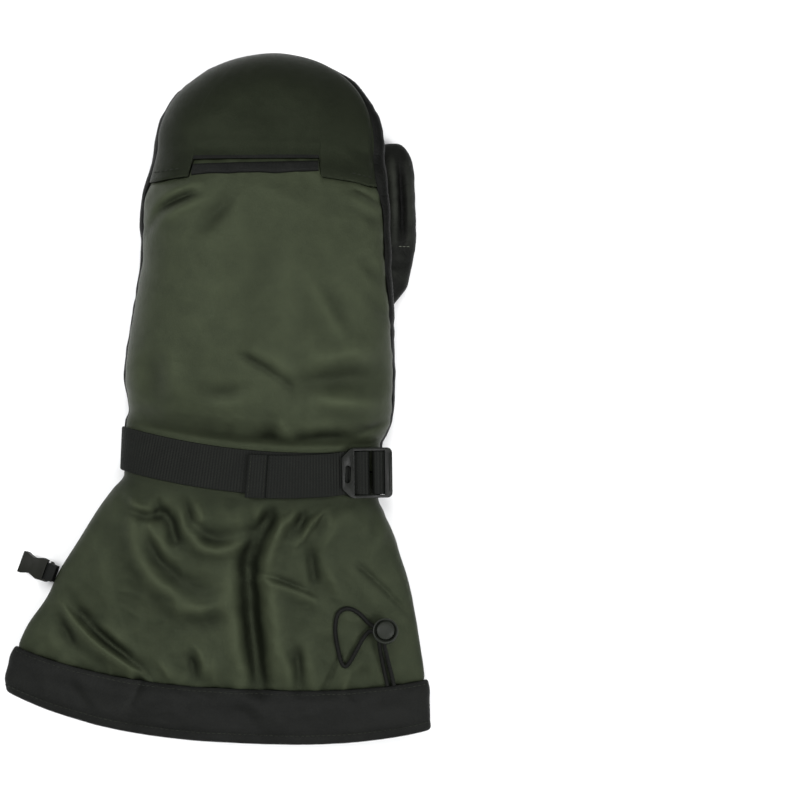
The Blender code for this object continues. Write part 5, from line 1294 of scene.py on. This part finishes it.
def hem_band(finish, lining, thread):
    rim = HEM_BAND_WIDTH - CUFF_LENGTH - HAIR
    v = np.linspace(-CUFF_LENGTH, rim, 40)
    u, v = np.meshgrid(ring_angles(300, 150), v)
    points, normals, across, along = surface(u, v, ring=True)
    away = np.hypot(points[..., 0] - CORD_MOUTH.x, v - rim)
    offset = HEM_PROUD + CORD_MOUTH.height * np.exp(-((away / CORD_MOUTH.reach)**2)) * (np.sin(u) > 0)
    to_rim = along[-1:] - along
    offset += 0.0008 * np.exp(-((to_rim - 0.006) / 0.005)**2)
    offset += 0.0005 * noise(across, 0 * along, 0.009, 71) * np.exp(-to_rim / 0.012)
    offset += 0.0003 * noise(across, along, 0.018, 72) + 0.0004 * np.exp(-((along - 0.002) / 0.0022)**2)
    offset -= 0.0009 * np.exp(-along / 0.0006) + 0.0006 * np.exp(-to_rim / 0.0006)
    offset = offset * np.where(np.sin(u) < 0, smoothstep(0.0005, 0.004, points[..., 2]) * 0.8 + 0.2, 1.0)
    outer = settled(points + normals * offset[..., None])
    inner = points + normals * (HEM_PROUD - HEM_WALL + 0.0006 * np.exp(-along / 0.0006))[..., None]
    inner[..., 2] = np.maximum(inner[..., 2], 0.0006)
    piece = add_piece("hem_cloth", wall_mesh("hem_cloth", outer, inner, ring=True), [finish, lining],
                      ["hem_band"])
    places = [int(np.argmin(np.abs(to_edge[:, 100] - distance)))
              for to_edge, distance in ((to_rim, 0.0028), (along, 0.0062))]
    rows = [(outer[place, 4:296], normals[place, 4:296]) for place in places]
    stitches("hem_stitching", rows, thread)


def ribbon(name, path, finish, nodes, top_extra=0.0):
    """Woven webbing along a path of rows (x, y, z, then the direction across it)."""
    places = path[:, :3]
    runs = np.gradient(places, axis=0)
    runs = runs / np.linalg.norm(runs, axis=1, keepdims=True)
    across = path[:, 3:] / np.linalg.norm(path[:, 3:], axis=1, keepdims=True)
    out = np.cross(across, runs)
    out = out / np.linalg.norm(out, axis=1, keepdims=True)
    run = path_lengths(path)
    wave = RIB_HEIGHT * np.sin(run * 2 * math.pi / RIB_PITCH)
    extra = top_extra + 0 * run
    sides = np.array([-1.0, -0.985, -0.93, -0.6, -0.2, 0.2, 0.6, 0.93, 0.985, 1.0])
    flat = np.array([0.35, 0.8, 1.0, 1.0, 1.0, 1.0, 1.0, 1.0, 0.8, 0.35])
    ring = []
    for way, more in ((1, extra), (-1, 0 * extra)):
        for side, share in zip(sides[::way], flat[::way]):
            swell = (STRAP_THICKNESS / 2 - RIB_HEIGHT + wave * (share > 0.9)) * share
            swell = swell + more * min(share * 1.2, 1.0)
            ring.append(places + way * out * swell[:, None] + across * side * STRAP_WIDTH / 2)
    rows = np.stack(ring, axis=1)
    index, faces = grid_faces(*rows.shape[:2])
    faces = faces.reshape(-1, 4).tolist() + [index[0, :-1][::-1].tolist(), index[-1, :-1].tolist()]
    spread = np.concatenate([sides, sides[::-1]]) * STRAP_WIDTH / 2
    uv = np.stack(np.broadcast_arrays(run[:, None], spread[None, :]), axis=-1).reshape(-1, 2)
    mesh = make_mesh(name, rows.reshape(-1, 3), faces, uv)
    face_outward(mesh)
    add_piece(name, mesh, [finish], nodes)
    return places, out, across, run


def wrist_strap(finish, thread):
    """Webbing from under the wrist over the little finger's side, round the bar and back."""
    half = STRAP_THICKNESS / 2
    offset = STRAP_CLEARANCE + half
    around = wrist_points(np.linspace(2 * math.pi - STRAP_END_ANGLE, math.pi, 16)[:-1], offset)
    around += wrist_points(np.linspace(math.pi, TAB_ANGLE, 22), offset)
    tab_middle = (TAB_END_X - BUCKLE_LENGTH / 2) / 2
    through = [buckle_point(tab_middle, LOWER_LAYER), buckle_point(TAB_END_X, LOWER_LAYER)]
    through += wrapped(STRAP_BAR_X, STRAP_BAR_WIDTH, (-90, -45, 0, 45, 90, 135))
    through += [
        buckle_point(TAB_END_X + 0.0020, UPPER_LAYER + 0.0008),
        buckle_point(TAB_END_X + 0.0006, UPPER_LAYER + 0.0002),
        buckle_point(tab_middle, UPPER_LAYER), buckle_point(tab_middle - 0.0020, UPPER_LAYER),
    ]
    first = spaced(around)
    middle_part = spaced([first[-1]] + through)
    tail = np.array(wrist_points(np.linspace(TAB_ANGLE, 1.62, 9), offset + STRAP_THICKNESS + 2 * GAP))
    tail[:, 1] -= TAIL_DROP * STRAP_WIDTH * np.linspace(0.1, 1.0, len(tail))
    back = spaced([middle_part[-1], *tail])
    back = back[path_lengths(back) <= TAIL_LENGTH]
    path = np.vstack([first, middle_part[1:], back[1:]])
    run = path_lengths(path)
    fold_start = run[-1] - TAIL_FOLD
    extra = STRAP_THICKNESS * smoothstep(fold_start - 0.0004, fold_start + 0.0004, run)
    rounding = np.sqrt(np.clip((run[-1] - run) / 0.0012, 0.0, 1.0))
    places, out, across, run = ribbon("strap_webbing", path, finish, ["wrist_strap"],
                                      extra * (0.6 + 0.4 * rounding))
    rows = []
    spread = np.linspace(-0.92, 0.92, 12)[:, None] * STRAP_WIDTH / 2
    for back_from_end in (0.0018, TAIL_FOLD - 0.0016):
        spot = int(np.argmin(np.abs(run - (run[-1] - back_from_end))))
        line = places[spot] + out[spot] * (STRAP_THICKNESS * 1.5 - RIB_HEIGHT) + across[spot] * spread
        rows.append((line, np.tile(out[spot], (12, 1))))
    stitches("tail_stitching", rows, thread, size=0.00026, pitch=0.0021, share=0.66)


def buckle_webbing(finish):
    half = STRAP_THICKNESS / 2
    loop = [buckle_point(END_BAR_X - 0.0007, UPPER_LAYER + 0.0004)]
    loop += wrapped(FIXED_BAR_X, FIXED_BAR_WIDTH, (50, 90, 135, 180, 225, 270))
    loop += [buckle_point(END_BAR_X, LOWER_LAYER),
             buckle_point(END_BAR_X + 0.0026, LOWER_LAYER - 0.0004)]
    around = wrist_points(np.linspace(0.04, -STRAP_END_ANGLE + 0.006, 12), STRAP_CLEARANCE + half)
    path = np.vstack([spaced(loop), spaced([loop[-1]] + around)[1:]])
    ribbon("buckle_tape", path, finish, ["buckle_webbing"])


def softened(name, node, finish, width=0.00035):
    """Copy of a hard CAD piece with its edges rounded as moulded plastic has them."""
    source = bpy.data.objects.get(node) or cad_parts[node]
    mesh = source.data.copy()
    mesh.name = name
    mesh.materials.clear()
    mesh.materials.append(finish)
    bm = bmesh.new()
    bm.from_mesh(mesh)
    bmesh.ops.remove_doubles(bm, verts=bm.verts, dist=2e-5)
    bmesh.ops.dissolve_limit(bm, angle_limit=math.radians(2.0), verts=bm.verts, edges=bm.edges)
    bm.to_mesh(mesh)
    bm.free()
    piece = new_object(name, mesh)
    bevel = piece.modifiers.new("round", "BEVEL")
    bevel.width = width
    bevel.segments = 3
    bevel.limit_method = "ANGLE"
    bevel.angle_limit = BEVEL_FROM
    bevel.use_clamp_overlap = True
    bevel.harden_normals = False
    apply_modifiers(piece, BEVEL_SHARP)
    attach(piece, "mitten")
    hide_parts(node)


def turned(name, profile, matrix, finish, nodes, body="mitten"):
    """Solid of revolution from (radius, height) rows that start and end on the axis."""
    angles = np.arange(TURNED_SIDES) * 2 * math.pi / TURNED_SIDES
    rows = np.array([[(radius * math.cos(a), radius * math.sin(a), height) for a in angles]
                     for radius, height in profile])
    faces = grid_faces(len(profile), TURNED_SIDES)[1].reshape(-1, 4)
    mesh = make_mesh(name, rows.reshape(-1, 3), faces.tolist())
    weld(mesh, 1e-6)
    mesh.transform(matrix)
    face_outward(mesh)
    mesh.shade_smooth()
    mesh.set_sharp_from_angle(angle=PLASTIC_SHARP)
    return add_piece(name, mesh, [finish], nodes, body)


def rounded_profile(rows, radius=0.00035):
    """Profile with its inner corners rounded."""
    result = [rows[0]]
    for before, here, after in zip(rows, rows[1:], rows[2:]):
        to_before = Vector(before) - Vector(here)
        to_after = Vector(after) - Vector(here)
        reach = min(radius, to_before.length * 0.45, to_after.length * 0.45)
        start = Vector(here) + to_before.normalized() * reach
        end = Vector(here) + to_after.normalized() * reach
        for step in range(ROUNDING_STEPS + 1):
            t = step / ROUNDING_STEPS
            point = start * (1 - t)**2 + Vector(here) * 2 * t * (1 - t) + end * t**2
            result.append((max(point.x, 0.0), point.y))
    result.append(rows[-1])
    return result


def cord_lock(finish):
    """Cup with two ways through it for the cord, and the button that slides in it."""
    radius = LOCK_DIAMETER / 2
    bore = BUTTON_DIAMETER / 2 + GAP
    cup = [(0.0, 0.0), (radius - 0.0008, 0.0), (radius - 0.0002, 0.0012),
           (radius - 0.0002, LOCK_HEIGHT - 0.0030), (radius, LOCK_HEIGHT - 0.0026), (radius, LOCK_HEIGHT),
           (radius - 0.0009, LOCK_HEIGHT + 0.0002), (radius - 0.0011, LOCK_HEIGHT - 0.0002),
           (bore + 0.0002, LOCK_HEIGHT - 0.0005), (bore, LOCK_HEIGHT - 0.0010), (bore, LOCK_FLOOR),
           (0.0, LOCK_FLOOR)]
    matrix = lock_frame()
    body = turned("lock_cup", rounded_profile(cup), matrix, finish, ["cord_lock_body"])
    way = 1.5 * CORD_DIAMETER + 0.0004
    for x1, y1, x2, y2 in ((-radius - 0.001, -way, -0.5 * bore, way),
                           (-way, -radius - 0.001, way, -0.5 * bore)):
        corners = [(x, y, z) for z in (LOCK_FLOOR, LOCK_FLOOR + CORD_WAY)
                   for x, y in ((x1, y1), (x2, y1), (x2, y2), (x1, y2))]
        faces = [(0, 3, 2, 1), (4, 5, 6, 7), (0, 1, 5, 4), (1, 2, 6, 5), (2, 3, 7, 6), (3, 0, 4, 7)]
        tool_mesh = bpy.data.meshes.new("cutter")
        tool_mesh.from_pydata(corners, [], faces)
        tool = new_object("cutter", tool_mesh)
        tool.matrix_world = Matrix.Translation(CENTRE) @ matrix
        cutter = body.modifiers.new("way", "BOOLEAN")
        cutter.operation = "DIFFERENCE"
        cutter.solver = "EXACT"
        cutter.object = tool
        apply_modifiers(body, PLASTIC_SHARP)
        bpy.data.objects.remove(tool, do_unlink=True)
    top = BUTTON_DIAMETER / 2
    foot = LOCK_FLOOR + CORD_WAY + GAP + BUTTON_TRAVEL
    rim = LOCK_HEIGHT + BUTTON_TRAVEL + 0.0004
    dome = [(top * math.cos(t), rim + 0.0011 * math.sin(t))
            for t in np.linspace(0.12, math.pi / 2, 12)[:-1]]
    shape = [(0.0, foot), (top, foot), (top, rim), *dome, (0.0, rim + 0.0011)]
    button = turned("lock_button", rounded_profile(shape, 0.0003), matrix, finish, ["cord_lock_button"],
                    "button")
    return [body, button]


def draw_cord(finish, pieces_on_it):
    """Elastic cord on the CAD route: from the hem's channel through the lock, in a loop and back."""
    points = smooth_curve(CORD_ROUTE, CORD_STEPS_PER_STRETCH) + np.array(CENTRE)
    curve = bpy.data.curves.new("elastic_cord", "CURVE")
    curve.dimensions = "3D"
    curve.bevel_depth = CORD_DIAMETER / 2
    curve.bevel_resolution = 5
    curve.use_fill_caps = True
    spline = curve.splines.new("POLY")
    spline.points.add(len(points) - 1)
    for place, point in zip(spline.points, points):
        place.co = (*point, 1.0)
    spline.use_smooth = True
    curve.materials.append(finish)
    cord = new_object("elastic_cord", curve)
    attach(cord, "mitten")
    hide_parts("draw_cord")


def studio():
    """Camera at the photograph's angle, pale floor and soft overhead light."""
    camera_data = bpy.data.cameras.new("camera")
    camera_data.lens = LENS
    camera_data.sensor_width = SENSOR
    camera_data.dof.use_dof = False
    camera = new_object("camera", camera_data)
    camera.location = (CAMERA_X, CAMERA_Y, CAMERA_HEIGHT)
    camera.rotation_euler = (0.0, 0.0, ROLL)
    bpy.context.scene.camera = camera

    mesh = bpy.data.meshes.new("floor")
    corners = [(x * FLOOR_SIZE, y * FLOOR_SIZE, FLOOR_LEVEL)
               for x, y in ((-1, -1), (1, -1), (1, 1), (-1, 1))]
    mesh.from_pydata(corners, [], [(0, 1, 2, 3)])
    floor = new_object("floor", mesh)
    mesh.materials.append(floor_finish())

    for name, place, size, power in LIGHTS:
        light = bpy.data.lights.new(name, "AREA")
        light.shape = "DISK"
        light.size = size
        light.energy = power
        lamp = new_object(name, light)
        lamp.location = place
        lamp.rotation_euler = (LIGHTS_AIM - Vector(place)).to_track_quat("-Z", "Y").to_euler()

    world = bpy.data.worlds.new("studio")
    world.use_nodes = True
    background = world.node_tree.nodes["Background"]
    background.inputs["Color"].default_value = (0.95, 0.97, 1.0, 1.0)
    background.inputs["Strength"].default_value = WORLD_STRENGTH
    bpy.context.scene.world = world
    bpy.context.scene.view_settings.view_transform = "Standard"
    bpy.context.scene.view_settings.look = "None"


studio()

green = coated_nylon("green_nylon", (52, 57, 43), (66, 72, 54), gain=0.47)
cap_green = coated_nylon("dark_cap_cloth", (38, 43, 32), (50, 55, 42), specular=0.12, gain=0.18)
cuff_green = coated_nylon("cuff_nylon", (43, 48, 36), (58, 63, 47), roughness=0.46, gain=0.46)
hem_black = hem_nylon("hem_nylon", (27, 29, 26), (39, 41, 37), gain=0.21)
binding_black = hem_nylon("binding_nylon", (18, 20, 17), (28, 30, 26), gain=0.28)
leather_black = leather("black_leather", (20, 21, 18), (33, 35, 30), gain=0.42, folds=True)
# The palm's leather is the thumb's black leather at about half the brightness: painted shade on the
# palm's strip along the side.
palm_black_painted_shade = leather("palm_leather", (18, 20, 17), (30, 32, 27), gain=0.20)
lining = hem_nylon("dark_lining", (14, 15, 13), (24, 25, 22))
webbing_black = webbing("black_webbing", (26, 29, 25), (44, 47, 41), gain=0.29)
plastic = moulded("black_plastic", (27, 30, 25), (38, 41, 35))
clip_plastic = moulded("clip_plastic", (28, 30, 22), (42, 44, 34), roughness=0.5)
lock_grey = moulded("lock_plastic", (46, 50, 43), (60, 64, 56), roughness=0.42, gain=0.30)
cord_black = braided("elastic_cover", (14, 15, 12), (34, 36, 30))
thread_black = hem_nylon("black_thread", (20, 22, 18), (44, 47, 40))

draw_cord(cord_black, cord_lock(lock_grey))
back_panel(green, lining)
fingertip_cap(cap_green, lining, binding_black, thread_black)
pocket_binding(binding_black)
palm_panel(palm_black_painted_shade, lining)
thumb(leather_black, lining)
gauntlet(cuff_green, lining)
hem_band(hem_black, lining, thread_black)
wrist_strap(webbing_black, thread_black)
buckle_webbing(webbing_black)
softened("buckle", "strap_buckle", plastic)
softened("clip_body", "clip_socket", clip_plastic, width=0.00030)
softened("clip_tape", "clip_webbing", webbing_black, width=0.00025)
